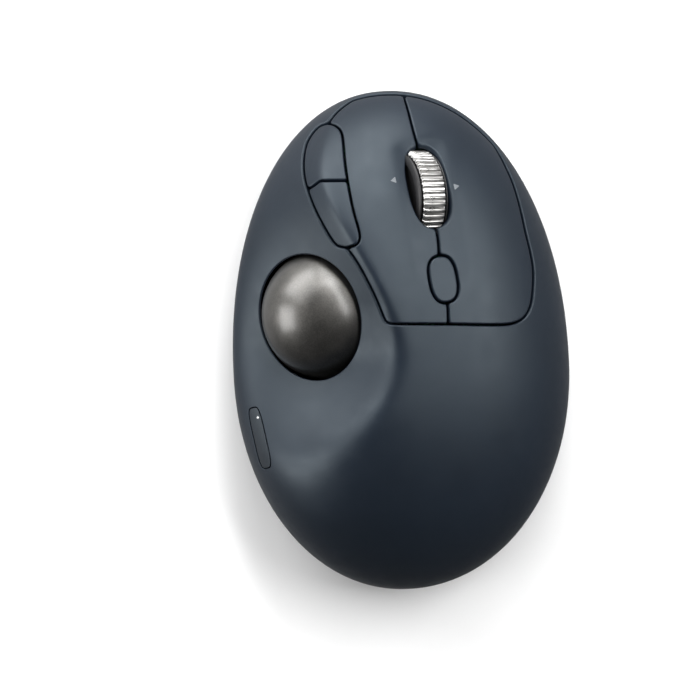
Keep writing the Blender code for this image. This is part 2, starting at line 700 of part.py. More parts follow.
def build_ball():
    ball = lathe("ball", sphere_arc(BALL_R, 18), 36, BALL, basis(BALL_AXIS), 180)
    set_origin(ball, BALL)
    paint(ball, PEWTER, 0.3, 0.7)
    inner = BALL_R + CUP_CLEAR
    outer = inner + CUP_WALL
    steps = 10
    angles = [CUP_REACH * i / steps for i in range(1, steps + 1)]
    profile = [(0, -outer)]
    profile += [(outer * math.sin(a), -outer * math.cos(a)) for a in angles]
    profile += [(inner * math.sin(a), -inner * math.cos(a)) for a in reversed(angles)]
    profile.append((0, -inner))
    cup = lathe("ball_cup", profile, 36, BALL, basis(BALL_AXIS), 60)
    foot_z = FLOOR_Z + FLOOR_T + 0.3
    skirt_z = BALL[2] - SKIRT_DROP
    section = [(7.3, foot_z), (9.0, foot_z), (9.0, skirt_z), (7.3, skirt_z)]
    join(cup, lathe("skirt", section, 28, (BALL[0], BALL[1], 0)))
    sight = Vector(SENSOR_WAY).normalized()
    tools = [cylinder("eject", (BALL[0], BALL[1], 0), (0, 0, 1), 7.0, 9.0, 28)]
    tools.append(cylinder("sight", Vector(BALL) + sight * 15, sight, 3.0, 8.0, 20))
    for way in bearing_ways():
        tools.append(cylinder("seat", Vector(BALL) + way * (BALL_R - 0.5), way, REST_R + 0.35, 4.0, 14))
    cut(cup, *tools)
    paint(cup, BLACK, 0.5)
    for k, way in enumerate(bearing_ways()):
        at = Vector(BALL) + way * (BALL_R + 0.3 + REST_R)
        bearing = lathe(f"support_bearing_{k + 1}", sphere_arc(REST_R, 8), 12, at, basis(way), 180)
        paint(bearing, (0.8, 0.8, 0.78), 0.2)
    turn = basis(sight)
    lens = lathe("sensor_lens", [(0, 19.2), (4.2, 19.2), (4.2, 20.4), (0, 20.4)], 20, BALL, turn)
    paint(lens, (0.75, 0.8, 0.8), 0.1)
    chip = box("optical_sensor", Vector(BALL) + sight * 21.7, (8.0, 8.0, 2.0), turn)
    paint(chip, BLACK, 0.4)
    board = box("sensor_board", Vector(BALL) + sight * 23.6, (9.0, 15.0, 1.0), turn)
    paint(board, BOARD, 0.45)


def sphere_arc(radius, steps):
    """Profile of a sphere from its lower pole to its upper pole."""
    angles = [math.pi * i / steps for i in range(1, steps)]
    return [(0, -radius)] + [(radius * math.sin(a), -radius * math.cos(a)) for a in angles] + [(0, radius)]


def bearing_ways():
    """Three rests low in the cup, evenly round its axis."""
    turn = basis(BALL_AXIS)
    out = math.sin(REST_DOWN)
    ways = []
    for k in range(3):
        a = REST_START + 2 * math.pi * k / 3
        ways.append(turn @ Vector((out * math.cos(a), out * math.sin(a), math.cos(REST_DOWN))))
    return ways


def build_wheel():
    turn, middle = wheel_frame()
    to_axle = turn @ Matrix(((0, 0, 1), (1, 0, 0), (0, 1, 0)))
    half = TREAD_WIDTH / 2
    points = []
    steps = RIDGES * 4
    for z in (-half, half):
        for i in range(steps):
            a = 2 * math.pi * i / steps
            low = WHEEL_R - RIDGE_DEPTH
            r = (WHEEL_R, WHEEL_R, low, low)[i % 4]
            points.append(to_axle @ Vector((r * math.cos(a), r * math.sin(a), z)) + middle)
    inner = RIDGES
    for z in (-half, half):
        for i in range(inner):
            a = 2 * math.pi * (i * 4 + 0.5) / steps
            inward = Vector((TREAD_BORE * math.cos(a), TREAD_BORE * math.sin(a), z))
            points.append(to_axle @ inward + middle)
    faces = []
    base = 2 * steps
    for i in range(steps):
        j = (i + 1) % steps
        faces.append((i, j, steps + j, steps + i))
    for i in range(inner):
        j = (i + 1) % inner
        faces.append((base + i, base + inner + i, base + inner + j, base + j))
        for shift, ring in ((0, base), (steps, base + inner)):
            for k in range(4):
                faces.append((shift + 4 * i + k, shift + (4 * i + k + 1) % steps,
                              ring + (i if k < 2 else j)))
            faces.append((shift + 4 * i + 2, ring + j, ring + i))
    tread = new_object("wheel_tread", points, faces, 30)
    set_origin(tread, middle)
    paint(tread, STEEL, 0.3, 1.0)
    rim = [(10.2, -4.2), (11.5, -3.7), (11.5, -3.35), (10.35, -3.35)]
    profile = [(1.85, -4.2)] + rim + [(r, -z) for r, z in reversed(rim)] + [(1.85, 4.2)]
    hub = lathe("wheel_hub", profile, 40, middle, to_axle)
    set_origin(hub, middle)
    paint(hub, BLACK, 0.5)
    axle = lathe("wheel_axle", [(0, -6.3), (1.5, -6.3), (1.5, 6.3), (0, 6.3)], 16, middle, to_axle)
    set_origin(axle, middle)
    paint(axle, STEEL, 0.35, 1.0)

    def local(name, centre, size):
        return box(name, middle + turn @ Vector(centre), size, turn)

    carrier = local("wheel_carrier", (0, 0, PIVOT), (10.8, 9.0, 1.2))
    join(carrier,
         local("side", (-5.3, 0, -6.0), (1.3, 7.0, 16.1)),
         local("side", (5.3, 0, -6.0), (1.3, 7.0, 16.1)),
         local("pivot", (0, 0, PIVOT), (3.0, 28.6, 0.9)))
    cut(carrier, lathe("bore", [(0, -9), (1.85, -9), (1.85, 9), (0, 9)], 16, middle, to_axle))
    set_origin(carrier, middle + turn @ Vector((0, 0, PIVOT)))
    paint(carrier, (0.05, 0.05, 0.055), 0.5)
    encoder = local("wheel_encoder", (7.5, 0, -7.5), (2.2, 8.0, 7.0))
    set_origin(encoder, middle + turn @ Vector((0, 0, PIVOT)))
    paint(encoder, (0.03, 0.10, 0.25), 0.45)
    rocker = local("wheel_rocker", (0, 0, ROCKER), (5.0, 33.2, 1.2))
    join(rocker,
         local("upright", (0, 15.7, -13.9), (4.4, 1.8, 4.4)),
         local("upright", (0, -15.7, -13.9), (4.4, 1.8, 4.4)))
    set_origin(rocker, middle + turn @ Vector((0, 0, ROCKER)))
    paint(rocker, (0.08, 0.08, 0.085), 0.5)
    under = middle + turn @ Vector((0, 0, ROCKER - 0.6))
    deck = BOARD_Z + 1.3
    top = under.z - 2.4
    switch = box("wheel_click_switch", (under.x - 1.5, under.y, (deck + top) / 2), (4.0, 4.0, top - deck))
    paint(switch, BLACK, 0.4)


def build_bottom():
    count = 80
    outer = [(0.9985, BELT_Z - 0.2), (0.990, 6.0), (0.968, 3.6), (0.938, 1.9), (0.905, FLOOR_Z)]
    inner = [(0.880, FLOOR_Z + FLOOR_T), (0.915, 3.2), (0.942, 5.6), (0.955, BELT_Z - 0.2)]
    turns = [2 * math.pi * i / count for i in range(count)]
    points = [(*egg_point(turn, rho), z) for rho, z in outer + inner for turn in turns]
    faces = []
    for k in range(len(outer) + len(inner)):
        a = k * count
        b = ((k + 1) % (len(outer) + len(inner))) * count
        if k == len(outer) - 1:
            continue
        faces += [(a + i, a + (i + 1) % count, b + (i + 1) % count, b + i) for i in range(count)]
    first = (len(outer) - 1) * count
    faces.append(tuple(range(first, first + count)))
    faces.append(tuple(range(first + count, first + 2 * count)))
    shell = new_object("bottom_shell", points, faces, 40)
    holes = []
    for x, y in REAR_SCREWS + FRONT_SCREWS:
        join(shell, cylinder("socket", (x, y, FLOOR_Z + 0.4), (0, 0, 1), 4.0, 2.1, 20))
        section = [(0, 0), (2.9, 0), (2.9, 2.4), (1.5, 2.4), (1.5, 5), (0, 5)]
        holes.append(lathe("bore", section, 20, (x, y, 0)))
    holes.append(cylinder("eject", (BALL[0], BALL[1], 0), (0, 0, 1), 8.0, 4.0, 32))
    holes.append(prism("slot", pill(POWER_AT, (4.4, 9.6), 0, 20, 4.0), 0, 4))
    holes.append(cylinder("press", (*CONNECT_AT, 0), (0, 0, 1), 3.0, 4.0, 20))
    holes.append(box("bay", (*RECEIVER_AT, 2.0), (15.6, 6.8, 4.0)))
    holes.append(prism_y("port", (USB_X, 53.0, USB_Z), 9.8, 4.0, 16.0))
    cut(shell, *holes)
    paint(shell, (0.03, 0.033, 0.038), 0.6)


def prism_y(name, base, wide, tall, length):
    """A rounded slot that runs forwards from the base point."""
    loop = pill((0, 0), (wide, tall), 0, 24, 4.0)
    points = [(base[0] + u, base[1], base[2] + v) for u, v in loop]
    points += [(base[0] + u, base[1] + length, base[2] + v) for u, v in loop]
    n = len(loop)
    faces = [tuple(range(n)), tuple(range(n, 2 * n))]
    faces += [(i, (i + 1) % n, n + (i + 1) % n, n + i) for i in range(n)]
    return new_object(name, points, faces)


def build_inside():
    board = prism("main_board", MAIN_BOARD, BOARD_Z, BOARD_Z + 1.0)
    cut(board, prism("notch", pill((-3.3, 45.0), (8.0, 8.0), SLOT_TURN, 24, 5.0), BOARD_Z - 1, BOARD_Z + 2))
    paint(board, BOARD, 0.45)
    battery = box("battery", (-11.5, -30.5, 8.2), (26, 19, 7.0))
    paint(battery, (0.25, 0.27, 0.30), 0.5)
    socket = prism_y("usb_c_socket", (USB_X, 54.5, USB_Z), 9.0, 3.2, 8.4)
    cut(socket, prism_y("mouth", (USB_X, 55.5, USB_Z), 8.3, 2.5, 9.0))
    join(socket, box("tongue", (USB_X, 58.3, USB_Z), (6.6, 6.8, 0.7)))
    paint(socket, STEEL, 0.35, 1.0)
    cover = box("radio_shield", (15.0, -30.0, BOARD_Z + 1.3 + 1.1), (9.0, 12.0, 2.2))
    paint(cover, STEEL, 0.35, 1.0)
    chip = box("controller_chip", (16.0, 8.0, BOARD_Z + 1.3 + 0.5), (7.0, 7.0, 1.0))
    paint(chip, BLACK, 0.4)

    deck = UPPER_Z
    turn, middle = wheel_frame()
    centre = middle + turn.col[2] * ((UPPER_Z - middle.z) / turn.col[2].z)
    well = (centre.x + 0.6, centre.y)
    back = middle + turn @ Vector((0, -15.0, PIVOT))
    upper = prism("upper_board", UPPER_BOARD, deck, deck + 1.0)
    cut(upper,
        prism("well", pill(well, (21.0, 30.0), SLOT_TURN, 32, 5.0), deck - 2, deck + 3),
        prism("notch", pill(back[:2], (8.0, 14.0), SLOT_TURN, 24, 5.0), deck - 2.3, deck + 3.3))
    paint(upper, BOARD, 0.45)
    frame = prism("inner_frame", offset(UPPER_BOARD[::-1], -1.0), deck - 2.0, deck - 0.3)
    legs = []
    for x, y, low in ((*FRONT_SCREWS[0], 3.9), (*FRONT_SCREWS[1], 3.9), (29.5, 16.0, 2.7)):
        legs.append(cylinder("leg", (x, y, low), (0, 0, 1), 2.7, deck - 0.9 - low, 16))
    legs.append(box("arm", (26.5, 16.0, deck - 1.15), (10.0, 5.0, 1.6)))
    join(frame, *legs)
    tools = [prism("well", pill(well, (20.6, 31.0), SLOT_TURN, 32, 5.0), deck - 4, deck + 3)]
    tools.append(prism("notch", pill(back[:2], (8.6, 15.0), SLOT_TURN, 24, 5.0), deck - 4.3, deck + 3.3))
    tools += [cylinder("pilot", (x, y, 3.0), (0, 0, 1), 1.45, 10.5, 12) for x, y in FRONT_SCREWS]
    cut(frame, *tools)
    paint(frame, (0.05, 0.05, 0.055), 0.5)

    on_deck = deck + 1.3
    for name, x, y, size in (("left_switch", -10.4, 37.4, (5.8, 12.8, 5.0)),
                             ("right_switch", 19.2, 31.6, (5.8, 12.8, 3.0)),
                             ("dpi_switch", *OVAL_CENTRE, (6.0, 6.0, 6.0)),
                             ("forward_switch", -17.5, 44.0, (4.0, 4.0, 3.0)),
                             ("back_switch", -17.5, 34.5, (4.0, 4.0, 3.0))):
        switch = box(name, (x, y, on_deck + size[2] / 2), size)
        paint(switch, BLACK, 0.4)
    for k, (x, y) in enumerate(REAR_SCREWS + FRONT_SCREWS):
        section = [(0, 1.2), (2.5, 1.2), (2.5, 2.1), (1.1, 2.1), (1.1, 12.0), (0, 12.0)]
        screw = lathe(f"case_screw_{k + 1}", section, 16, (x, y, 0))
        paint(screw, STEEL, 0.3, 1.0)
    for k, (x, y, wide, long, tilt) in enumerate(FEET):
        outline = pill((x, y), (wide, long), math.radians(tilt), 24)
        foot = prism(f"foot_{k + 1}", outline, 0.0, FLOOR_Z - 0.3)
        paint(foot, (0.10, 0.10, 0.105), 0.7)
    knob = prism("power_slider", pill((POWER_AT[0], POWER_AT[1] + 1.3), (3.6, 5.2), 0, 16, 4.0), 0.5, 4.4)
    set_origin(knob, (*POWER_AT, 2.5))
    paint(knob, (0.12, 0.12, 0.125), 0.5)
    body = box("power_switch", (*POWER_AT, 5.6), (4.0, 9.0, 1.8))
    paint(body, STEEL, 0.4, 1.0)
    press = cylinder("connect_button", (*CONNECT_AT, 0.7), (0, 0, 1), 2.6, 3.8, 20)
    set_origin(press, (*CONNECT_AT, 2.5))
    paint(press, (0.12, 0.12, 0.125), 0.5)
    under = box("connect_switch", (*CONNECT_AT, 5.8), (5.0, 5.0, 1.4))
    paint(under, BLACK, 0.4)
    tray = box("receiver_bay", (*RECEIVER_AT, 12.0), (18.2, 9.4, 18.6))
    cut(tray, box("hollow", (*RECEIVER_AT, 11.1), (15.6, 6.8, 18.2)))
    paint(tray, BLACK, 0.5)
    case = box("receiver_case", (*RECEIVER_AT, 4.2), (15.0, 6.2, 6.2))
    plug = box("receiver_plug", (*RECEIVER_AT, 13.3), (12.0, 4.5, 11.4))
    for obj in (case, plug):
        set_origin(obj, (*RECEIVER_AT, 4.2))
    paint(case, BLACK, 0.4)
    paint(plug, STEEL, 0.3, 1.0)
    ribbon = tube("sensor_cable", SENSOR_CABLE, 0.6)
    paint(ribbon, (0.5, 0.5, 0.52), 0.5)
    lead = tube("battery_lead", BATTERY_LEAD, 0.7)
    paint(lead, (0.5, 0.03, 0.03), 0.5)
    lamp = box("status_led", (-34.6, -19.5, 17.0), (1.2, 1.6, 1.2))
    paint(lamp, (0.9, 0.9, 0.88), 0.3)


def centre_model():
    """Puts the origin under the middle of the outline."""
    bpy.context.view_layer.update()
    corners = [obj.matrix_world @ Vector(c) for obj in bpy.data.objects for c in obj.bound_box]
    x = (min(c.x for c in corners) + max(c.x for c in corners)) / 2
    y = (min(c.y for c in corners) + max(c.y for c in corners)) / 2
    for obj in bpy.data.objects:
        obj.location -= Vector((x, y, 0))


clear_scene()
build_top()
build_ball()
build_wheel()
build_bottom()
build_inside()
centre_model()
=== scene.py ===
"""Looks of a right-hand thumb trackball mouse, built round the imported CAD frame. +Y is its front, +Z up."""

import math

import bmesh
import bpy
import numpy as np
from mathutils import Matrix, Vector
from mathutils.geometry import delaunay_2d_cdt


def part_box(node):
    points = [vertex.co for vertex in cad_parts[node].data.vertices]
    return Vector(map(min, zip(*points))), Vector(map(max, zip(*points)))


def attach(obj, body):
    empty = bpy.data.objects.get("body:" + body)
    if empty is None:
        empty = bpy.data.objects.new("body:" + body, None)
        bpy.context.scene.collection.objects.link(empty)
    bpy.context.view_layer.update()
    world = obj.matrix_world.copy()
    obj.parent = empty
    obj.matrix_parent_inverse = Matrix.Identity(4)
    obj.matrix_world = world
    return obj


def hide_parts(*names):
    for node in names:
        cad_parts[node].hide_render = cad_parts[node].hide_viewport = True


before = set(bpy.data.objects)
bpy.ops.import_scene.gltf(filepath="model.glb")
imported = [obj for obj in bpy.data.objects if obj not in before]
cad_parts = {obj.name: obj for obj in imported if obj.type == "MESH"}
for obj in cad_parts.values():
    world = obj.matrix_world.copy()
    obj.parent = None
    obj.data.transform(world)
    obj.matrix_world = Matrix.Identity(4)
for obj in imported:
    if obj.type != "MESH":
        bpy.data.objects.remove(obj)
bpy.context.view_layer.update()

MM = 0.001

# The curved shell: the same driving dimensions as the CAD, in millimetres
EGG_CENTRE = (-0.83, -6.96)
EGG_RIGHT = 44.8
EGG_LEFT = 42.9
EGG_FRONT = 72.2
EGG_REAR = 58.0
EGG_POWER_FRONT = 2.10
EGG_POWER_REAR = 2.05
EGG_TURN = 0.05
BELT_Z = 9.0
CROWN = 37.0
CROWN_LEAN = 0.25
CROWN_MIDDLE = -2.0
CROWN_HALF_WIDTH = 44.0
CROWN_NOSE_DROP = 0.10
CROWN_NOSE_LENGTH = 65.0
DOME_POWER = 2.3
SCOOP_DEPTH = 0.74
SCOOP_LENGTH = 18.5
SCOOP_POWER = 1.1
CREST_SHARP = 0.5
CREST_SOFTNESS = 1.1
CREST_FADE = 5.0
SOFTEN_FROM = 15.0
SOFTEN_OVER = 28.0
FADE_FROM = -16.0
FADE_OVER = 27.0
CREST_KEEN = 12
CREST_NEAR = 4.0
CREST_FAR = 12.0
CREST = [(-14.0, 64.0), (-18.9, 53.8), (-20.5, 43.2), (-18.0, 34.6), (-13.0, 25.4), (-7.6, 16.0),
         (-3.6, 7.4), (-1.5, -3.0), (-3.6, -12.4), (-9.0, -21.6), (-16.8, -29.0), (-26.4, -34.6),
         (-46.0, -38.5)]
CHANNEL_DEPTH = 0.9
CHANNEL_WIDTH = 5.8
CHANNEL_FRONT = (4.1, 50.2)
CHANNEL_REAR = (10.8, 14.5)
CHANNEL_FRONT_FADE = 0.7
CHANNEL_REAR_FADE = 2.5
CHANNEL_REAR_SHORT = 2.0
CHANNEL_RIM_FADE = 0.1
SHELL = 1.8
SEAM = 0.2
GAP = 0.5
RIM_RHO = 0.978
SLOT_CENTRE = (6.25, 38.6)
SLOT_SIZE = (9.2, 20.5)
SLOT_TURN = math.radians(12.0)
WHEEL_R = 12.25
WHEEL_LEAN = math.radians(25.0)
SLOPE_REACH = 9.0
TREAD_WIDTH = 6.0
RIDGES = 48
RIDGE_DEPTH = 0.72
TREAD_BORE = 10.7
OVAL_CENTRE = (10.1, 15.2)
OVAL_SIZE = (7.1, 12.0)
OVAL_TURN = math.radians(10.0)
BALL_R = 17.0
BALL = (-18.9, 6.8, 21.9)
BALL_AXIS = (-0.58, -0.13, 0.80)
OPENING_CENTRE = (-23.6, 5.8)
OPENING_SIZE = (25.3, 32.3)
OPENING_TURN = math.radians(16.0)
CUP_CLEAR = 0.6
CUP_WALL = 1.2
CUP_REACH = math.radians(96.0)
CUP_HOLE_R = 7.0
EJECT_R = 8.0
FLOOR_Z = 1.1
FLOOR_T = 1.3
BASE_TUCK = 0.13
BASE_POWER = 2.2
BASE_RISE = BELT_Z - SEAM - FLOOR_Z
WINDOW_AT = (-36.4, -25.0)
WINDOW_HOLE = (3.5, 16.1)
WINDOW_SIZE = (3.0, 15.6)
WINDOW_TURN = math.radians(13.5)
REAR_SCREWS = [(-30.0, -26.0), (30.0, -28.0)]
FRONT_SCREWS = [(-14.0, 47.0), (21.0, 43.0)]
POWER_AT = (13.0, -14.0)
POWER_SIZE = (4.4, 9.6)
CONNECT_AT = (13.0, 4.0)
CONNECT_R = 3.0
RECEIVER_AT = (10.2, -46.0)
RECEIVER_HALF = (7.8, 3.4)
USB_AT = (-4.0, 5.0)
USB_SIZE = (9.8, 4.0)
USB_FROM = 53.0
USB_TO = 69.0
FEET = [(-20.0, 36.0, 5.0, 12.0, -20.0), (13.5, 49.0, 5.0, 12.0, 60.0), (-25.0, -36.5, 5.0, 13.0, 40.0),
        (25.0, -39.0, 5.0, 13.0, -35.0), (-35.0, 5.0, 4.5, 12.0, 0.0)]

# Details that only the looks have
RIDGE_TOP_POINTS = 9
RIDGE_GROOVE_POINTS = 3
EDGE = 0.4
WINDOW_EDGE = 0.12
BASE_EDGE = 0.3
BEVEL_WIDTH = 1.1
BEVEL_REACH = 1.6
BEVEL_FADE = 0.8
BEVEL_ASIDE = -3.0
BEVEL_AHEAD = 7.0
BEVEL_OVER = 4.0
UNDERCUT = 1.6
FRONT_UNDERCUT = 1.6
UNDERCUT_FADE = 5.0
RING_ROOM = 0.9
LIGHT_DOT = (-36.9, -19.8)
LIGHT_DOT_R = 0.28
INK_RISE = 0.025
INK_DEPTH = 0.10
TILT_MARK = [(-0.8, 0.0), (0.55, -0.85), (0.55, 0.85)]
TILT_MARKS = {"left": ((-2.3, 40.1), 0.0), "right": ((13.55, 38.8), math.pi)}
SCREW_HOLE_R = 2.9
SCREW_R = 2.5
CROSS_SIZE = (2.6, 0.55, 1.2)

# Fineness of the meshes, in millimetres or in points round a loop
FINE = 0.9
PLAN_SPACING = 0.7
LOOP_SPACING = 0.8
BUTTON_SPACING = 0.6
BASE_SPACING = 1.3
RIM_POINTS = 380
RING_POINTS = 130
ROW_PITCH = 0.866
CLEAR_OF_EDGE = 0.55
EDGE_STEPS = (0.0, 0.13, 0.5, 1.0)
SQUARE = 4.0
CORNERS = ((-1, -1), (1, -1), (1, 1), (-1, 1))

# Studio, in metres
FLOOR_HALF = 0.95
ROOM_DARK = 0.1
ROOM_BRIGHT = 0.6
ROOM_DARK_FROM = -0.3
ROOM_BRIGHT_FROM = 0.9
BRIGHT_SIDE = (-0.15, 0.85, -0.5)
BACKDROP = 1.0
LIT_POINT = (0, 0, 0.02)
CAMERA_AT = (-0.01334, -0.00262, 0.72)
CAMERA_LENS = 140.0
CAMERA_SENSOR = 36.0

# The CAD's frame is centred on its own box, so plan places here shift by the ball's offset
low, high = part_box("ball")
SHIFT = Vector(((low.x + high.x) / 2 - BALL[0] * MM, (low.y + high.y) / 2 - BALL[1] * MM, 0))


# ---------------- surface


def egg_rho(x, y):
    """1 on the plan outline, 0 at its centre."""
    c = math.cos(EGG_TURN)
    s = math.sin(EGG_TURN)
    u = c * (x - EGG_CENTRE[0]) + s * (y - EGG_CENTRE[1])
    v = -s * (x - EGG_CENTRE[0]) + c * (y - EGG_CENTRE[1])
    half = np.where(u > 0, EGG_RIGHT, EGG_LEFT)
    length = np.where(v > 0, EGG_FRONT, EGG_REAR)
    power = np.where(v > 0, EGG_POWER_FRONT, EGG_POWER_REAR)
    return (np.abs(u / half) ** power + np.abs(v / length) ** power) ** (1 / power)


def turned(centre, u, v, angle):
    """The plan point at (u, v) from the centre, turned by the angle."""
    c = math.cos(angle)
    s = math.sin(angle)
    return (centre[0] + c * u - s * v, centre[1] + s * u + c * v)


def egg_point(angle):
    ca = math.cos(angle)
    sa = math.sin(angle)
    power = EGG_POWER_FRONT if sa > 0 else EGG_POWER_REAR
    u = (EGG_RIGHT if ca > 0 else EGG_LEFT) * math.copysign(abs(ca) ** (2 / power), ca)
    v = (EGG_FRONT if sa > 0 else EGG_REAR) * math.copysign(abs(sa) ** (2 / power), sa)
    return turned(EGG_CENTRE, u, v, EGG_TURN)


def spline(points, steps):
    """Catmull-Rom curve through the points."""
    p = [Vector(q) for q in points]
    p = [2 * p[0] - p[1]] + p + [2 * p[-1] - p[-2]]
    made = []
    for i in range(1, len(p) - 2):
        for k in range(steps):
            t = k / steps
            a = 2 * p[i]
            b = (p[i + 1] - p[i - 1]) * t
            c = (2 * p[i - 1] - 5 * p[i] + 4 * p[i + 1] - p[i + 2]) * t * t
            d = (3 * p[i] - p[i - 1] - 3 * p[i + 1] + p[i + 2]) * t * t * t
            made.append(0.5 * (a + b + c + d))
    made.append(p[-2])
    return made


CREST_LINE = np.array(spline(CREST, 10))


def ease(t):
    t = np.clip(t, 0, 1)
    return t * t * (3 - 2 * t)


def crest_side(x, y):
    """Distance left of the crest line. Far from it the distance is softened, so the bend has no ridge."""
    points = np.stack([np.ravel(x), np.ravel(y)], axis=1)
    best = np.full(len(points), 1e9)
    sign = np.ones(len(points))
    pull = np.zeros(len(points))
    for a, b in zip(CREST_LINE, CREST_LINE[1:]):
        d = b - a
        t = np.clip(((points - a) @ d) / (d @ d), 0, 1)
        off = points - a - t[:, None] * d
        dist = np.hypot(off[:, 0], off[:, 1])
        cross = d[0] * off[:, 1] - d[1] * off[:, 0]
        near = dist < best - 1e-9
        best[near] = dist[near]
        sign[near] = np.where(cross[near] < 0, 1.0, -1.0)
        middle = points - (a + b) / 2
        pull += math.hypot(d[0], d[1]) / np.maximum(np.hypot(middle[:, 0], middle[:, 1]), 1.0) ** CREST_KEEN
    line_pull = math.sqrt(math.pi) * math.gamma((CREST_KEEN - 1) / 2) / math.gamma(CREST_KEEN / 2)
    soft = (pull / line_pull) ** (-1 / (CREST_KEEN - 1))
    blend = ease((best - CREST_NEAR) / (CREST_FAR - CREST_NEAR))
    return ((best + (soft - best) * blend) * sign).reshape(np.shape(x))


def channel(x, y):
    """Depth of the long dip that the wheel stands in."""
    a = np.array(CHANNEL_FRONT)
    d = np.array(CHANNEL_REAR) - a
    length = math.hypot(d[0], d[1])
    t = ((x - a[0]) * d[0] + (y - a[1]) * d[1]) / length
    off = ((x - a[0]) * d[1] - (y - a[1]) * d[0]) / length
    ends = 1 / (1 + np.exp(-t / CHANNEL_FRONT_FADE))
    ends = ends / (1 + np.exp((t - length + CHANNEL_REAR_SHORT) / CHANNEL_REAR_FADE))
    return CHANNEL_DEPTH * ends * np.exp(-((off / CHANNEL_WIDTH) ** 4))


def top_height(x, y):
    """Upper surface of the mouse: a dome, scooped left of the crest line for the thumb."""
    x = np.asarray(x, float)
    y = np.asarray(y, float)
    rho = np.clip(egg_rho(x, y), 0, 1)
    crown = CROWN * (1 - CROWN_LEAN * (x - CROWN_MIDDLE) / CROWN_HALF_WIDTH)
    crown = crown * (1 - CROWN_NOSE_DROP * np.clip(y / CROWN_NOSE_LENGTH, 0, 1) ** 2)
    dome = crown * np.sqrt(np.clip(1 - rho**DOME_POWER, 0, 1))
    left = crest_side(x, y)
    soft = CREST_SHARP + CREST_SOFTNESS * ease((SOFTEN_FROM - y) / SOFTEN_OVER)
    soft = soft + CREST_FADE * ease((FADE_FROM - y) / FADE_OVER)
    left = np.maximum(left, 0) + soft * np.log1p(np.exp(-np.abs(left / soft)))
    scoop = SCOOP_DEPTH * (1 - np.exp(-((left / SCOOP_LENGTH) ** SCOOP_POWER)))
    relief = dome * (1 - scoop) - channel(x, y) * np.clip((1 - rho) / CHANNEL_RIM_FADE, 0, 1)
    return BELT_Z + SEAM + relief * (1 - SEAM / CROWN)


def base_height(x, y):
    """Underside of the mouse: flat in the middle, turning up to the parting line."""
    rho = np.clip(egg_rho(np.asarray(x, float), np.asarray(y, float)), 0, 1)
    t = np.clip((rho - (1 - BASE_TUCK)) / BASE_TUCK, 0, 1)
    return FLOOR_Z + BASE_RISE * (1 - np.clip(1 - t**BASE_POWER, 0, 1) ** (1 / BASE_POWER))


class Field:
    """A height field over the egg, with a stretched plan in which its steep rim takes its true length."""

    # Typical plan radius, samples along it, step for the slopes, and how close to the rim they are taken
    reach = 50.0
    samples = 4000
    probe = 0.01
    rim = 0.9996

    def __init__(self, height, drop_at, up):
        self.height = height
        self.up = up
        self.rho = 1 - np.linspace(1, 0, self.samples) ** 2.5
        drop = np.array([drop_at(r) for r in self.rho])
        steps = np.hypot(np.diff(self.rho) * self.reach, np.diff(drop))
        self.arc = np.concatenate([[0], np.cumsum(steps)]) / self.reach

    def stretch(self, points, now, then):
        p = np.asarray(points, float)
        rho = egg_rho(p[:, 0], p[:, 1])
        ratio = np.interp(rho, now, then) / np.maximum(rho, 1e-9)
        return np.array(EGG_CENTRE) + (p - np.array(EGG_CENTRE)) * ratio[:, None]

    def warp(self, points):
        return self.stretch(points, self.rho, self.arc)

    def unwarp(self, points):
        return self.stretch(points, self.arc, self.rho)

    def normals(self, x, y):
        """Outward unit normals. The slope is measured just inside the rim, where the wall is upright."""
        x = np.asarray(x, float)
        y = np.asarray(y, float)
        e = self.probe
        rho = egg_rho(x, y)
        pull = np.minimum(1, self.rim / np.maximum(rho, 1e-6))
        px = EGG_CENTRE[0] + (x - EGG_CENTRE[0]) * pull
        py = EGG_CENTRE[1] + (y - EGG_CENTRE[1]) * pull
        gx = (self.height(px + e, py) - self.height(px - e, py)) / (2 * e)
        gy = (self.height(px, py + e) - self.height(px, py - e)) / (2 * e)
        n = np.stack([-gx, -gy, np.ones_like(gx)], axis=-1) * self.up
        return n / np.linalg.norm(n, axis=-1, keepdims=True)


def dome_drop(rho):
    """Height of a plain dome, which spaces the rows of the top pieces."""
    return 34 * math.sqrt(max(0.0, 1 - rho**DOME_POWER))


def base_drop(rho):
    t = min(1.0, max(0.0, (rho - 1 + BASE_TUCK) / BASE_TUCK))
    return BASE_RISE * (1 - max(0.0, 1 - t**BASE_POWER) ** (1 / BASE_POWER))


TOP = Field(top_height, dome_drop, 1.0)
BASE = Field(base_height, base_drop, -1.0)


def height(x, y):
    return float(top_height(x, y))


# ---------------- plan loops


def pill(centre, size, turn, count, power=2.6):
    """A rounded slot, counterclockwise from its front end."""
    made = []
    for i in range(count):
        t = math.pi / 2 + 2 * math.pi * i / count
        u = size[0] / 2 * math.copysign(abs(math.cos(t)) ** (2 / power), math.cos(t))
        v = size[1] / 2 * math.copysign(abs(math.sin(t)) ** (2 / power), math.sin(t))
        made.append(turned(centre, u, v, turn))
    return made


def egg_rim():
    return [egg_point(2 * math.pi * i / RIM_POINTS) for i in range(RIM_POINTS)]


def circle(centre, radius, count):
    return [(centre[0] + radius * math.cos(2 * math.pi * i / count),
             centre[1] + radius * math.sin(2 * math.pi * i / count)) for i in range(count)]


def resample(points, spacing, closed):
    p = [Vector(q) for q in points]
    if closed:
        p.append(p[0])
    lengths = [0.0]
    for a, b in zip(p, p[1:]):
        lengths.append(lengths[-1] + (b - a).length)
    count = max(1, round(lengths[-1] / spacing))
    made = []
    k = 0
    for i in range(count if closed else count + 1):
        s = lengths[-1] * i / count
        while k < len(p) - 2 and lengths[k + 1] < s:
            k += 1
        t = (s - lengths[k]) / max(1e-9, lengths[k + 1] - lengths[k])
        made.append(tuple(p[k].lerp(p[k + 1], min(1.0, t))))
    return made


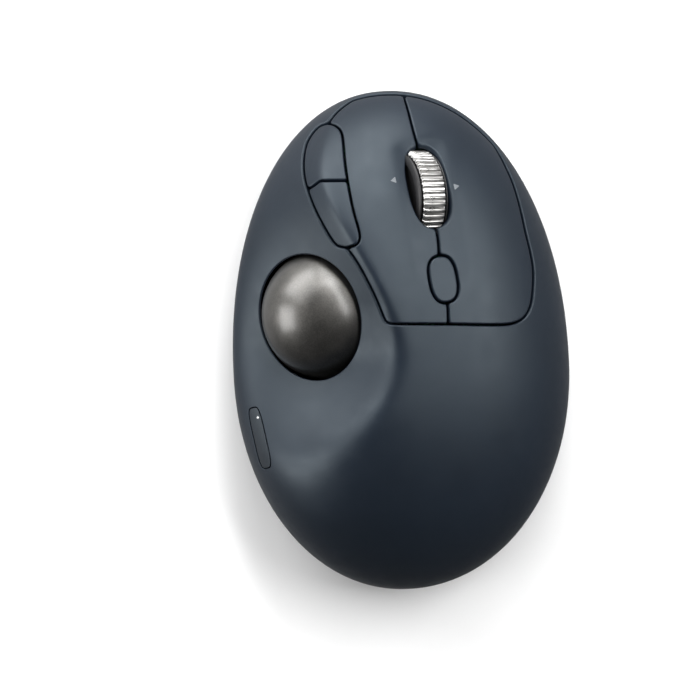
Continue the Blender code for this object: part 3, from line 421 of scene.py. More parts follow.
def loop_area(loop):
    count = len(loop)
    return sum(loop[i][0] * loop[(i + 1) % count][1] - loop[(i + 1) % count][0] * loop[i][1]
               for i in range(count)) / 2


def offset(loop, distance):
    """The closed loop moved outwards by distance, inwards if negative. Each point may have its own."""
    count = len(loop)
    way = np.broadcast_to(distance if loop_area(loop) > 0 else np.negative(distance), count)
    made = []
    for i in range(count):
        p = Vector(loop[i])
        a = (p - Vector(loop[i - 1])).normalized()
        b = (Vector(loop[(i + 1) % count]) - p).normalized()
        na = Vector((a.y, -a.x))
        nb = Vector((b.y, -b.x))
        n = (na + nb).normalized()
        made.append(tuple(p + n * float(way[i]) / max(0.6, n.dot(na))))
    return made


def round_corners(loop, radius, spacing):
    """The loop with corners sharper than about 35 degrees cut by arcs, evenly spaced again."""
    p = [Vector(q) for q in loop]
    count = len(p)
    made = []
    for i in range(count):
        a = (p[i] - p[i - 1]).normalized()
        b = (p[(i + 1) % count] - p[i]).normalized()
        turn = math.acos(max(-1.0, min(1.0, a.dot(b))))
        if turn < math.radians(35):
            made.append(tuple(p[i]))
            continue
        reach = min(radius * math.tan(turn / 2), 2.7 * spacing)
        start = p[i] - a * reach
        end = p[i] + b * reach
        while made and (Vector(made[-1]) - p[i]).length < reach:
            made.pop()
        for k in range(7):
            t = k / 6
            made.append(tuple(start * (1 - t) ** 2 + p[i] * 2 * t * (1 - t) + end * t * t))
    clean = [made[0]]
    for q in made[1:]:
        if (Vector(q) - Vector(clean[-1])).length > 0.12 * spacing:
            clean.append(q)
    return resample(clean, spacing, True)


def keep_inside(points, most):
    """Points beyond the rim are drawn in to it."""
    made = []
    for x, y in points:
        rho = float(egg_rho(x, y))
        pull = min(1.0, most / max(rho, 1e-6))
        made.append((EGG_CENTRE[0] + (x - EGG_CENTRE[0]) * pull, EGG_CENTRE[1] + (y - EGG_CENTRE[1]) * pull))
    return made


def inside(points, loop):
    """Even-odd test of many points against one loop."""
    x = points[:, 0]
    y = points[:, 1]
    hit = np.zeros(len(points), bool)
    count = len(loop)
    for i in range(count):
        x0, y0 = loop[i]
        x1, y1 = loop[(i + 1) % count]
        if y0 == y1:
            continue
        hit ^= ((y0 > y) != (y1 > y)) & (x < (x1 - x0) * (y - y0) / (y1 - y0) + x0)
    return hit


def in_region(points, loops):
    """Inside the first loop and outside the others."""
    good = inside(points, loops[0])
    for hole in loops[1:]:
        good &= ~inside(points, hole)
    return good


def loop_distance(points, loop):
    best = np.full(len(points), 1e9)
    count = len(loop)
    for i in range(count):
        a = np.array(loop[i])
        d = np.array(loop[(i + 1) % count]) - a
        t = np.clip(((points - a) @ d) / max(1e-12, d @ d), 0, 1)
        off = points - a - t[:, None] * d
        best = np.minimum(best, np.hypot(off[:, 0], off[:, 1]))
    return best


# ---------------- plan of the top pieces

BUTTON_LEFT_EDGE = [(-12.0, 19.8), (-9.6, 15.6), (-6.9, 10.1), (-5.1, 5.7), (-4.3, 4.3), (-3.0, 3.9)]
BUTTON_REAR_EDGE = [(11.3, 3.9), (23.5, 3.8), (28.0, 4.2), (30.8, 5.6), (32.5, 8.2), (33.3, 12.0)]
BUTTON_RIGHT_EDGE = [(33.6, 17.6), (32.9, 22.5), (31.7, 27.7), (30.5, 33.7), (29.0, 39.6), (27.2, 44.2),
                     (24.8, 49.2), (21.2, 54.6), (15.4, 60.0), (8.6, 64.7), (0.6, 66.0)]
BUTTON_FRONT_EDGE = [(-6.0, 65.5), (-11.5, 62.8), (-16.2, 59.2)]
SIDE_TOP = (-19.0, 55.6)
SIDE_END = (-14.2, 22.9)
SIDE_RIGHT_EDGE = [(-17.1, 54.9), (-15.7, 53.4), (-15.1, 50.8), (-14.5, 44.4), (-13.6, 38.4), (-12.5, 32.7),
                   (-11.1, 27.6), (-10.8, 25.3), (-11.7, 23.7)]
SIDE_LEFT_EDGE = [(-16.4, 23.4), (-17.8, 24.9), (-19.8, 28.2), (-22.0, 32.5), (-23.7, 36.8), (-24.9, 41.2),
                  (-25.2, 45.8), (-24.5, 50.3), (-22.8, 53.4), (-21.0, 55.1)]
SIDE_SPLIT_LEFT = (-24.2, 38.1)
SIDE_SPLIT = [(-22.6, 38.9), (-20.7, 40.2), (-20.0, 40.1)]
SIDE_SPLIT_RIGHT = (-13.9, 40.0)
MID_FRONT = [(1.7, 58.6), (3.1, 52.3)]
MID_REAR = [(8.9, 24.4)]
REAR_JOIN = (11.3, 3.9)
FRONT_JOIN = (0.6, 66.0)


def smooth_chain(points, spacing):
    return resample(spline(points, 8), spacing, False)


def top_plan(spacing):
    """The loops that the buttons and the shell are cut along, before the gaps."""
    slot = pill(SLOT_CENTRE, SLOT_SIZE, SLOT_TURN, 4 * round(14 / spacing))
    oval = pill(OVAL_CENTRE, OVAL_SIZE, OVAL_TURN, 4 * round(9 / spacing))
    side_right = smooth_chain([SIDE_TOP] + SIDE_RIGHT_EDGE + [SIDE_END], spacing)
    side_left = smooth_chain([SIDE_END] + SIDE_LEFT_EDGE + [SIDE_TOP], spacing)
    left_edge = smooth_chain([SIDE_END] + BUTTON_LEFT_EDGE, spacing)
    rear_left = resample([BUTTON_LEFT_EDGE[-1], REAR_JOIN], spacing, False)
    rear_right = keep_inside(smooth_chain(BUTTON_REAR_EDGE + BUTTON_RIGHT_EDGE, spacing), RIM_RHO)
    front_left = keep_inside(smooth_chain([FRONT_JOIN] + BUTTON_FRONT_EDGE + [SIDE_TOP], spacing), RIM_RHO)
    middle_front = smooth_chain([front_left[0]] + MID_FRONT + [slot[0]], spacing)
    half = len(slot) // 2
    middle_mid = smooth_chain([slot[half]] + MID_REAR + [oval[0]], spacing)
    oval_half = len(oval) // 2
    middle_rear = resample([oval[oval_half], REAR_JOIN], spacing, False)
    along_left = middle_front[:-1] + slot[:half] + middle_mid[:-1] + oval[:oval_half] + middle_rear
    slot_right = [slot[0]] + slot[:half - 1:-1]
    oval_right = [oval[0]] + oval[:oval_half - 1:-1]
    along_right = middle_front[:-1] + slot_right[:-1] + middle_mid[:-1] + oval_right[:-1] + middle_rear
    left = front_left[:-1] + side_right[:-1] + left_edge[:-1] + rear_left[:-1] + along_left[::-1][:-1]
    right = rear_right[:-1] + along_right[:-1]
    split = smooth_chain([SIDE_SPLIT_LEFT] + SIDE_SPLIT + [SIDE_SPLIT_RIGHT], spacing)
    near_left = min(range(len(side_left)), key=lambda i: math.dist(side_left[i], SIDE_SPLIT_LEFT))
    near_right = min(range(len(side_right)), key=lambda i: math.dist(side_right[i], SIDE_SPLIT_RIGHT))
    split[0] = side_left[near_left]
    split[-1] = side_right[near_right]
    forward = side_left[near_left:-1] + side_right[:near_right] + split[::-1][:-1]
    back = side_right[near_right:-1] + side_left[:near_left] + split[:-1]
    hole = front_left[:-1] + side_left[::-1][:-1] + left_edge[:-1] + rear_left[:-1] + rear_right[:-1]
    return {"left": left, "right": right, "forward": forward, "back": back, "hole": hole, "oval": oval}


# ---------------- meshes


def put(name, data):
    """A new object, in the scene."""
    obj = bpy.data.objects.new(name, data)
    bpy.context.scene.collection.objects.link(obj)
    return obj


def new_object(name, points, faces, smooth=35, normals=None):
    """A mesh from points in the plan's millimetres."""
    mesh = bpy.data.meshes.new(name)
    mesh.from_pydata([tuple(Vector(p) * MM + SHIFT) for p in points], [], faces)
    mesh.validate()
    if normals is None:
        bm = bmesh.new()
        bm.from_mesh(mesh)
        bmesh.ops.recalc_face_normals(bm, faces=bm.faces)
        bm.to_mesh(mesh)
        bm.free()
    obj = put(name, mesh)
    mesh.shade_smooth()
    if normals is None:
        mesh.set_sharp_from_angle(angle=math.radians(smooth))
    else:
        mesh.normals_split_custom_set_from_vertices([tuple(n) for n in normals])
    return obj


def tube_faces(count):
    """The two ends and the wall of a prism whose points are one ring after the other."""
    faces = [tuple(range(count)), tuple(range(count, 2 * count))]
    return faces + [(i, (i + 1) % count, count + (i + 1) % count, count + i) for i in range(count)]


def lift(name, field, outer, holes, spacing, thickness, edge, lip=False, wide_holes=(), step_back=None):
    """The plan region raised to the field and given a thickness, its top edges rounded to a radius of edge.

    edge is one radius, or a function that gives each point of a loop its own.
    wide_holes lists (hole number, distance): that hole's inner edge is moved away from the hole.
    step_back gives a sideways shift of the inner face for points of the plan.
    lip is True where the outer loop is the egg's own rim, which keeps its upright wall.
    """
    loops = [list(outer)] + [list(h) for h in holes]
    radii = [np.array(edge(loop)) if callable(edge) else np.full(len(loop), edge) for loop in loops]
    ways = [-1] + [1] * len(holes)
    all_steps = [(0.0,) if lip else EDGE_STEPS] + [EDGE_STEPS] * len(holes)
    plan = []
    bounds = []
    first_loops = []
    for number, loop in enumerate(loops):
        for k, step in enumerate(all_steps[number]):
            here = offset(loop, ways[number] * radii[number] * step) if step else loop
            start = len(plan)
            plan += here
            bounds += [(start + i, start + (i + 1) % len(here)) for i in range(len(here))]
            if k == 0:
                first_loops.append((start, len(here)))
    warped_loops = [field.warp(loop) for loop in loops]
    inner_warped = [field.warp(offset(loop, way * radius)) for loop, way, radius in zip(loops, ways, radii)]
    lows = warped_loops[0].min(axis=0)
    highs = warped_loops[0].max(axis=0)
    rows = int((highs[1] - lows[1]) / (spacing * ROW_PITCH)) + 1
    columns = int((highs[0] - lows[0]) / spacing) + 2
    grid = np.array([(lows[0] + spacing * (c + 0.5 * (r % 2)), lows[1] + spacing * ROW_PITCH * r)
                     for r in range(rows) for c in range(columns)])
    keep = in_region(grid, inner_warped)
    for loop in inner_warped:
        keep &= loop_distance(grid, loop) > CLEAR_OF_EDGE * spacing
    grid = grid[keep]
    warped = np.vstack([field.warp(plan), grid])
    verts, _, tris, source, _, _ = delaunay_2d_cdt([Vector(p) for p in warped], bounds, [], 0, 1e-7, True)
    where = np.array([tuple(v) for v in verts])
    mids = np.array([where[list(t)].mean(axis=0) for t in tris])
    tris = [t for t, good in zip(tris, in_region(mids, warped_loops)) if good]
    flat = field.unwarp(where)
    for i, ids in enumerate(source):
        if ids and ids[0] < len(plan):
            flat[i] = plan[ids[0]]
    n = field.normals(flat[:, 0], flat[:, 1])
    upper = np.column_stack([flat, field.height(flat[:, 0], flat[:, 1])])
    shade = n.copy()
    back = upper - n * thickness
    if step_back:
        back[:, :2] += step_back(flat)
    spot = {}
    for i, ids in enumerate(source):
        for j in ids:
            if j < len(plan):
                spot[j] = i
    at = 0
    for number, loop in enumerate(loops):
        steps = all_steps[number]
        count = len(loop)
        first = [spot.get(at + i) for i in range(count)]
        last = [spot.get(at + (len(steps) - 1) * count + i) for i in range(count)]
        for k, step in enumerate(steps):
            bend = 1 - step
            for i in range(count):
                v = spot.get(at + k * count + i)
                if v is None or first[i] is None or last[i] is None or len(steps) == 1:
                    continue
                out = upper[first[i]] - upper[last[i]]
                out -= n[v] * (out @ n[v])
                size = np.linalg.norm(out)
                if size < 1e-6:
                    continue
                out /= size
                flat_share = math.sqrt(max(0.0, 1 - bend * bend))
                shade[v] = n[v] * flat_share + out * bend
                upper[v] = upper[v] - n[v] * (radii[number][i] * (1 - flat_share))
        at += len(steps) * count
    for number, distance in wide_holes:
        start, count = first_loops[number + 1]
        middle = np.mean(np.array(loops[number + 1]), axis=0)
        for i in range(count):
            v = spot[start + i]
            away = flat[v] - middle
            back[v, :2] += away / np.linalg.norm(away) * distance
    if lip:
        start, count = first_loops[0]
        for i in range(count):
            v = spot[start + i]
            toward = np.array(EGG_CENTRE) - flat[v]
            back[v] = [*(flat[v] + toward / np.linalg.norm(toward) * thickness), upper[v, 2]]
    size = len(flat)
    faces = [tuple(t) for t in tris] + [tuple(i + size for i in reversed(t)) for t in tris]
    edges = {edge: True for a, b, c in tris for edge in ((a, b), (b, c), (c, a))}
    rim = [(a, b) for a, b in edges if (b, a) not in edges]
    points = list(upper) + list(back)
    shades = list(shade) + list(-n)
    # The wall has its own two rows of points, so that its shading doesn't run into the skin's
    doubled = {}
    for a, b in rim:
        for v in (a, b):
            if v in doubled:
                continue
            doubled[v] = len(points)
            points.append(upper[v])
            points.append(back[v])
            shades.append(shade[v])
            shades.append(shade[v])
    faces += [(doubled[b], doubled[a], doubled[a] + 1, doubled[b] + 1) for a, b in rim]
    if field.up < 0:
        faces = [tuple(reversed(f)) for f in faces]
    used = sorted({i for f in faces for i in f})
    index = {old: new for new, old in enumerate(used)}
    shades = [shades[i] / max(1e-9, np.linalg.norm(shades[i])) for i in used]
    faces = [tuple(index[i] for i in f) for f in faces]
    obj = new_object(name, [tuple(points[i]) for i in used], faces, normals=shades)
    weld_rims(obj)
    return obj


def vectors(data, key):
    """One vector of every element, as rows."""
    made = np.zeros(len(data) * 3, np.float32)
    data.foreach_get(key, made)
    return made.reshape(-1, 3)


def weld_rims(obj):
    """Joins the doubled rows of points again, keeping the shading that was set on each side."""
    mesh = obj.data
    corner = vectors(mesh.corner_normals, "vector")
    places = vectors(mesh.vertices, "co")
    cells = np.round(places / 1e-8).astype(np.int64)
    _, first, index = np.unique(cells, axis=0, return_index=True, return_inverse=True)
    index = index.reshape(-1)
    faces = [tuple(int(index[v]) for v in p.vertices) for p in mesh.polygons]
    joined = bpy.data.meshes.new(mesh.name)
    joined.from_pydata([tuple(places[i]) for i in first], [], faces)
    joined.shade_smooth()
    joined.normals_split_custom_set([tuple(c) for c in corner])
    obj.data = joined
    bpy.data.meshes.remove(mesh)


UPRIGHT = Matrix.Identity(3)


def basis(axis):
    """A turn whose third column is the axis, with the second as near to +Y as that allows."""
    toward = Vector((0.0, 1.0, 0.0))
    z = Vector(axis).normalized()
    y = (toward - z * z.dot(toward)).normalized()
    x = y.cross(z)
    return Matrix((x, y, z)).transposed()


def prism(name, loop, z0, z1, bevel):
    points = [(x, y, z0) for x, y in loop] + [(x, y, z1) for x, y in loop]
    obj = new_object(name, points, tube_faces(len(loop)))
    return soften(obj, bevel)


def soften(obj, width, segments=3):
    step = obj.modifiers.new("soft edges", "BEVEL")
    step.width = width * MM
    step.segments = segments
    step.limit_method = "ANGLE"
    step.angle_limit = math.radians(35)
    step.harden_normals = True
    return apply(obj)


def apply(obj):
    """Applies every modifier."""
    graph = bpy.context.evaluated_depsgraph_get()
    made = bpy.data.meshes.new_from_object(obj.evaluated_get(graph))
    obj.modifiers.clear()
    obj.data = made
    return obj


def cut(obj, *tools):
    """Takes the tools out of the object, which keeps any shading that was set on it."""
    shaded = obj.data.has_custom_normals
    if shaded:
        kept = obj.data.attributes.new("kept_shading", "FLOAT_VECTOR", "CORNER")
        kept.data.foreach_set("vector", vectors(obj.data.corner_normals, "vector").ravel())
    for tool in tools:
        step = obj.modifiers.new("cut", "BOOLEAN")
        step.operation = "DIFFERENCE"
        step.solver = "EXACT"
        step.object = tool
        apply(obj)
        bpy.data.objects.remove(tool, do_unlink=True)
    mesh = obj.data
    if shaded:
        mesh.attributes.remove(mesh.attributes["custom_normal"])
    mesh.shade_smooth()
    mesh.set_sharp_from_angle(angle=math.radians(38))
    if shaded:
        kept = vectors(mesh.attributes["kept_shading"].data, "vector")
        mesh.attributes.remove(mesh.attributes["kept_shading"])
        is_new = np.linalg.norm(kept, axis=1) < 0.5
        kept[is_new] = vectors(mesh.corner_normals, "vector")[is_new]
        mesh.normals_split_custom_set([tuple(n) for n in kept])
    return obj


def box(name, centre, size, turn):
    hx, hy, hz = (s / 2 for s in size)
    points = [Vector((sx * hx, sy * hy, sz * hz)) for sz in (-1, 1) for sy in (-1, 1) for sx in (-1, 1)]
    faces = [(0, 1, 3, 2), (4, 5, 7, 6), (0, 1, 5, 4), (2, 3, 7, 6), (0, 2, 6, 4), (1, 3, 7, 5)]
    return new_object(name, [turn @ p + Vector(centre) for p in points], faces)


def lathe(name, profile, count, origin, turn=UPRIGHT, smooth=35):
    """Turns a profile of (radius, height) about the turn's third axis. A radius of 0 makes a pole."""
    points = []
    rows = []
    for r, z in profile:
        if r < 1e-6:
            rows.append([len(points)])
            points.append(turn @ Vector((0, 0, z)) + Vector(origin))
            continue
        rows.append(list(range(len(points), len(points) + count)))
        for i in range(count):
            a = 2 * math.pi * i / count
            points.append(turn @ Vector((r * math.cos(a), r * math.sin(a), z)) + Vector(origin))
    faces = []
    ends = list(zip(rows, rows[1:]))
    if len(rows[0]) > 1 or len(rows[-1]) > 1:
        ends.append((rows[-1], rows[0]))
    for a, b in ends:
        for i in range(count):
            j = (i + 1) % count
            if len(a) == 1 and len(b) == 1:
                continue
            if len(a) == 1:
                faces.append((a[0], b[i], b[j]))
            elif len(b) == 1:
                faces.append((a[i], b[0], a[j]))
            else:
                faces.append((a[i], b[i], b[j], a[j]))
    return new_object(name, points, faces, smooth)


def arc(centre, radius, start, end, steps):
    """Points of a profile along a circular arc, in degrees."""
    made = []
    for i in range(steps + 1):
        a = math.radians(start + (end - start) * i / steps)
        made.append((centre[0] + radius * math.cos(a), centre[1] + radius * math.sin(a)))
    return made


# ---------------- materials


def add_node(tree, kind, **values):
    """A new shader node. An underscore stands for the space in an input's name."""
    node = tree.nodes.new("ShaderNode" + kind)
    for name, value in values.items():
        node.inputs[name.replace("_", " ")].default_value = value
    return node


class Graph:
    """Short calls for building a material's nodes."""

    def __init__(self, name):
        self.material = bpy.data.materials.new(name)
        self.material.use_nodes = True
        self.tree = self.material.node_tree
        self.shader = self.tree.nodes["Principled BSDF"]
        self.place = add_node(self.tree, "TexCoord").outputs["Object"]

    def link(self, a, b):
        self.tree.links.new(a, b)

    def set(self, **values):
        for name, value in values.items():
            self.shader.inputs[name.replace("_", " ")].default_value = value

    def noise(self, scale, detail=3.0, roughness=0.5, stretch=None):
        node = add_node(self.tree, "TexNoise", Scale=scale, Detail=detail, Roughness=roughness)
        place = self.place
        if stretch:
            mapping = add_node(self.tree, "Mapping", Scale=stretch)
            self.link(place, mapping.inputs["Vector"])
            place = mapping.outputs["Vector"]
        self.link(place, node.inputs["Vector"])
        return node.outputs["Fac"]

    def cells(self, scale, feature="F1"):
        node = add_node(self.tree, "TexVoronoi", Scale=scale)
        node.feature = feature
        self.link(self.place, node.inputs["Vector"])
        return node.outputs["Distance"]

    def colour(self, factor, stops):
        node = add_node(self.tree, "ValToRGB")
        ramp = node.color_ramp
        while len(ramp.elements) < len(stops):
            ramp.elements.new(0.5)
        for element, (place, colour) in zip(ramp.elements, stops):
            element.position = place
            element.color = (*colour, 1.0)
        self.link(factor, node.inputs["Fac"])
        self.link(node.outputs["Color"], self.shader.inputs["Base Color"])

    def roughness(self, factor, low, high, from_low=0.3, from_high=0.7):
        node = add_node(self.tree, "MapRange", To_Min=low, To_Max=high,
                        From_Min=from_low, From_Max=from_high)
        self.link(factor, node.inputs["Value"])
        self.link(node.outputs["Result"], self.shader.inputs["Roughness"])

    def add(self, a, b, share=1.0):
        node = add_node(self.tree, "Math")
        node.operation = "MULTIPLY_ADD"
        node.inputs[1].default_value = share
        self.link(b, node.inputs[0])
        self.link(a, node.inputs[2])
        return node.outputs[0]

    def bump(self, height_value, strength, distance):
        node = add_node(self.tree, "Bump", Strength=strength, Distance=distance * MM)
        self.link(height_value, node.inputs["Height"])
        self.link(node.outputs["Normal"], self.shader.inputs["Normal"])


def shade(colour, factor):
    return tuple(min(1.0, c * factor) for c in colour)


def moulded(name, colour, roughness, grain, grain_scale=3200.0, vary=0.12, tint=(1, 1, 1)):
    """Textured injection-moulded plastic."""
    g = Graph(name)
    broad = g.noise(55.0, 2.0)
    fine = g.noise(grain_scale, 2.0, 0.55)
    tone = g.add(broad, fine, 0.35)
    g.colour(tone, [(0.35, shade(colour, 1 - vary)), (0.95, shade(colour, 1 + vary))])
    g.roughness(g.add(g.noise(260.0, 3.0), fine, 0.5), roughness - 0.05, roughness + 0.05, 0.4, 1.0)
    g.bump(g.add(g.cells(grain_scale * 0.7), fine, 0.8), grain, 0.02)
    g.set(Specular_Tint=(*tint, 1.0))
    return g.material


def metal(name, colour, roughness, scratch=(40.0, 40.0, 2500.0), strength=0.25):
    """Machined or drawn metal with fine lines along its stretch."""
    g = Graph(name)
    lines = g.noise(1.0, 4.0, 0.6, scratch)
    stain = g.noise(180.0, 3.0)
    g.colour(g.add(stain, lines, 0.5), [(0.4, shade(colour, 0.82)), (1.0, shade(colour, 1.06))])
    g.roughness(lines, roughness - 0.07, roughness + 0.09)
    g.bump(lines, strength, 0.02)
    g.set(Metallic=1.0)
    return g.material


def lacquer(name):
    """The ball: metal flake under a clear polished coat."""
    g = Graph(name)
    flake = g.cells(2600.0)
    cloud = g.noise(240.0, 3.0)
    tone = g.add(cloud, flake, 0.55)
    stops = [(0.35, (0.075, 0.073, 0.069)), (0.62, (0.095, 0.092, 0.086)), (1.0, (0.125, 0.120, 0.112))]
    g.colour(tone, stops)
    g.roughness(g.add(cloud, flake, 0.6), 0.42, 0.50, 0.4, 1.1)
    g.bump(g.add(flake, cloud, 0.5), 0.03, 0.02)
    g.set(Metallic=1.0, Coat_Weight=1.0, Coat_Roughness=0.26)
    return g.material


def circuit(name):
    g = Graph(name)
    tracks = g.cells(420.0, "DISTANCE_TO_EDGE")
    weave = g.noise(900.0, 2.0)
    stops = [(0.05, (0.045, 0.19, 0.09)), (0.09, (0.012, 0.075, 0.035)), (1.0, (0.01, 0.06, 0.03))]
    g.colour(tracks, stops)
    g.roughness(weave, 0.35, 0.5)
    g.bump(tracks, 0.2, 0.03)
    return g.material


def rubber(name, colour):
    g = Graph(name)
    dust = g.noise(700.0, 4.0, 0.65)
    stops = [(0.3, shade(colour, 0.8)), (0.75, shade(colour, 1.35))]
    g.colour(dust, stops)
    g.roughness(dust, 0.7, 0.9)
    g.bump(dust, 0.35, 0.03)
    return g.material


def clear(name, colour):
    g = Graph(name)
    haze = g.noise(500.0, 2.0)
    g.colour(haze, [(0.3, shade(colour, 0.92)), (0.8, colour)])
    g.roughness(haze, 0.03, 0.09)
    g.set(Transmission_Weight=0.9, IOR=1.49)
    return g.material


def printed(name, colour):
    """Pad-printed ink, slightly uneven."""
    g = Graph(name)
    wear = g.noise(2600.0, 3.0)
    g.colour(wear, [(0.25, shade(colour, 0.75)), (0.6, colour)])
    g.roughness(wear, 0.5, 0.65)
    g.bump(wear, 0.15, 0.01)
    return g.material


SLATE = (0.0062, 0.0101, 0.0178)
SHEEN = (0.80, 0.93, 1.0)
SHELL_SKIN = moulded("shell_finish", SLATE, 0.44, 0.25, tint=SHEEN)
BUTTON_SKIN = moulded("button_finish", shade(SLATE, 1.02), 0.42, 0.23, tint=SHEEN)
BASE_SKIN = moulded("base_finish", (0.022, 0.025, 0.029), 0.55, 0.35, 2400.0)
BLACK_SKIN = moulded("black_plastic", (0.010, 0.010, 0.011), 0.42, 0.2)
FRAME_SKIN = moulded("frame_plastic", (0.045, 0.045, 0.048), 0.55, 0.3)
WINDOW_SKIN = moulded("window_plastic", (0.010, 0.013, 0.018), 0.36, 0.06, tint=SHEEN)
SWITCH_SKIN = moulded("switch_plastic", (0.018, 0.018, 0.02), 0.45, 0.2)
CHIP_SKIN = moulded("chip_epoxy", (0.014, 0.014, 0.015), 0.6, 0.3, 5200.0)
ENCODER_SKIN = moulded("encoder_plastic", (0.025, 0.08, 0.22), 0.42, 0.2)
BATTERY_SKIN = moulded("battery_foil", (0.24, 0.26, 0.29), 0.3, 0.5, 400.0, 0.2)
CABLE_SKIN = moulded("cable_sleeve", (0.45, 0.45, 0.47), 0.5, 0.2)
LEAD_SKIN = moulded("battery_lead_sleeve", (0.42, 0.025, 0.025), 0.45, 0.2)
CERAMIC = moulded("ceramic", (0.78, 0.78, 0.75), 0.12, 0.03, 1800.0, 0.03)
LED_SKIN = moulded("led_body", (0.85, 0.85, 0.82), 0.2, 0.03, 1500.0, 0.04)
FOOT_RUBBER = rubber("foot_rubber_finish", (0.055, 0.055, 0.058))
PEWTER = lacquer("ball_lacquer")
STEEL = metal("steel_finish", (0.56, 0.56, 0.55), 0.3)
WHEEL_METAL = metal("wheel_metal_finish", (0.46, 0.455, 0.445), 0.30, (300.0, 300.0, 300.0), 0.02)
ZINC = metal("zinc_finish", (0.50, 0.50, 0.49), 0.36, (600.0, 600.0, 60.0))
BOARD = circuit("solder_mask")
LENS = clear("lens_finish", (0.86, 0.90, 0.92))
GREY_INK = printed("grey_ink", (0.16, 0.175, 0.19))
WHITE_INK = printed("white_ink", (0.75, 0.76, 0.76))


def dress(obj, material, body, slot, *stands_for):
    """Gives a piece its material and its place in the frame."""
    obj.data.materials.clear()
    obj.data.materials.append(material)
    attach(obj, body)
    for node in stands_for:
        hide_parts(node)
    return obj


# ---------------- top pieces


def shell_edge(loop):
    """The edge radius is small round the window, which lies flush."""
    away = np.hypot(*(np.array(loop) - np.array(WINDOW_AT)).T)
    return np.where(away < WINDOW_HOLE[1], WINDOW_EDGE, EDGE)


def button_edge(loop):
    """The edge radius grows round the front and right of the wheel slot."""
    slot = pill(SLOT_CENTRE, SLOT_SIZE, SLOT_TURN, 96)
    p = np.array(loop)
    near = ease(BEVEL_REACH - loop_distance(p, slot) / BEVEL_FADE)
    u, v = (p - np.array(SLOT_CENTRE)).T
    ahead = v * math.cos(SLOT_TURN) - u * math.sin(SLOT_TURN)
    aside = u * math.cos(SLOT_TURN) + v * math.sin(SLOT_TURN)
    nose = np.clip(ahead - BEVEL_AHEAD, 0, BEVEL_OVER)
    share = ease((aside - BEVEL_ASIDE) / BEVEL_OVER + nose / BEVEL_OVER)
    return EDGE + (BEVEL_WIDTH - EDGE) * near * share


def undercut(plan):
    """How far the inner face of the buttons steps back from the wheel, at each point of the plan."""
    axis = np.array([-math.sin(SLOT_TURN), math.cos(SLOT_TURN)])
    reach = (SLOT_SIZE[1] - SLOT_SIZE[0]) / 2
    p = plan - np.array(SLOT_CENTRE)
    out = p - np.clip(p @ axis, -reach, reach)[:, None] * axis
    far = np.linalg.norm(out, axis=1)
    share = np.clip(1 - (far - SLOT_SIZE[0] / 2) / UNDERCUT_FADE, 0, 1)
    front = np.clip(p @ axis / (SLOT_SIZE[1] / 2), 0, 1) ** 4
    return out * (UNDERCUT * share / far)[:, None] + axis * (FRONT_UNDERCUT * share * front)[:, None]


def inlay(name, loop):
    """A thin flush mark set into the surface."""
    points = [(x, y, height(x, y) + rise) for rise in (INK_RISE, -INK_DEPTH) for x, y in loop]
    return new_object(name, points, tube_faces(len(loop)))


def build_shell(plan):
    hole = round_corners(offset(plan["hole"], GAP / 2), 0.5, LOOP_SPACING)
    ring = pill(OPENING_CENTRE, OPENING_SIZE, OPENING_TURN, RING_POINTS, 2.0)
    window = pill(WINDOW_AT, WINDOW_HOLE, WINDOW_TURN, 72, SQUARE)
    holes = [hole, ring, window]
    shell = lift("top_skin", TOP, egg_rim(), holes, FINE, SHELL, shell_edge, True, [(1, RING_ROOM)])
    dress(shell, SHELL_SKIN, "base", "shell_plastic", "top_shell")
    window = pill(WINDOW_AT, WINDOW_SIZE, WINDOW_TURN, 72, SQUARE)
    lens = lift("indicator_window", TOP, window, [], 0.5, 1.2, 0.1)
    dress(lens, WINDOW_SKIN, "base", "window_plastic", "indicator_lens")
    dot = inlay("light_dot", circle(LIGHT_DOT, LIGHT_DOT_R, 20))
    dress(dot, WHITE_INK, "base", "window_plastic")


def build_buttons(plan):
    for key in ("left", "right", "forward", "back"):
        loop = round_corners(offset(plan[key], -GAP / 2), 0.45, LOOP_SPACING)
        piece = lift(key + "_button_skin", TOP, loop, [], FINE, SHELL, button_edge, step_back=undercut)
        dress(piece, BUTTON_SKIN, key + "_button", "button_plastic", key + "_button")
    oval = resample(offset(plan["oval"], -GAP / 2), BUTTON_SPACING, True)
    piece = lift("dpi_button_skin", TOP, oval, [], BUTTON_SPACING, SHELL, 0.5)
    dress(piece, BUTTON_SKIN, "dpi_button", "button_plastic", "dpi_button")


def build_marks():
    """The two small triangles beside the wheel."""
    for side, (at, turn) in TILT_MARKS.items():
        loop = [turned(at, u, v, turn + SLOT_TURN) for u, v in TILT_MARK]
        mark = inlay("tilt_mark_" + side, resample(loop, 0.35, True))
        dress(mark, GREY_INK, side + "_button", "button_plastic")


# ---------------- ball and cup


def sphere_arc(radius, reach, steps):
    """Profile of a sphere from its lower pole up to the angle reach, without any upper pole."""
    made = [(0, -radius)]
    for i in range(1, steps + (reach < math.pi)):
        made.append((radius * math.sin(reach * i / steps), -radius * math.cos(reach * i / steps)))
    return made


def build_ball():
    turn = basis(BALL_AXIS)
    ball = lathe("thumb_ball", sphere_arc(BALL_R, math.pi, 96) + [(0, BALL_R)], 160, BALL, turn, 180)
    dress(ball, PEWTER, "ball", "ball_resin", "ball")
    inner = BALL_R + CUP_CLEAR
    outer = sphere_arc(inner + CUP_WALL, CUP_REACH, 28)
    cup = lathe("ball_cup_skin", outer + sphere_arc(inner, CUP_REACH, 28)[::-1], 120, BALL, turn, 60)
    plug = [(0, 0), (CUP_HOLE_R, 0), (CUP_HOLE_R, BELT_Z), (0, BELT_Z)]
    eject = lathe("eject", plug, 64, (BALL[0], BALL[1], 0))
    cut(cup, eject)
    dress(cup, BLACK_SKIN, "base", "black_plastic", "ball_cup")


# ---------------- wheel


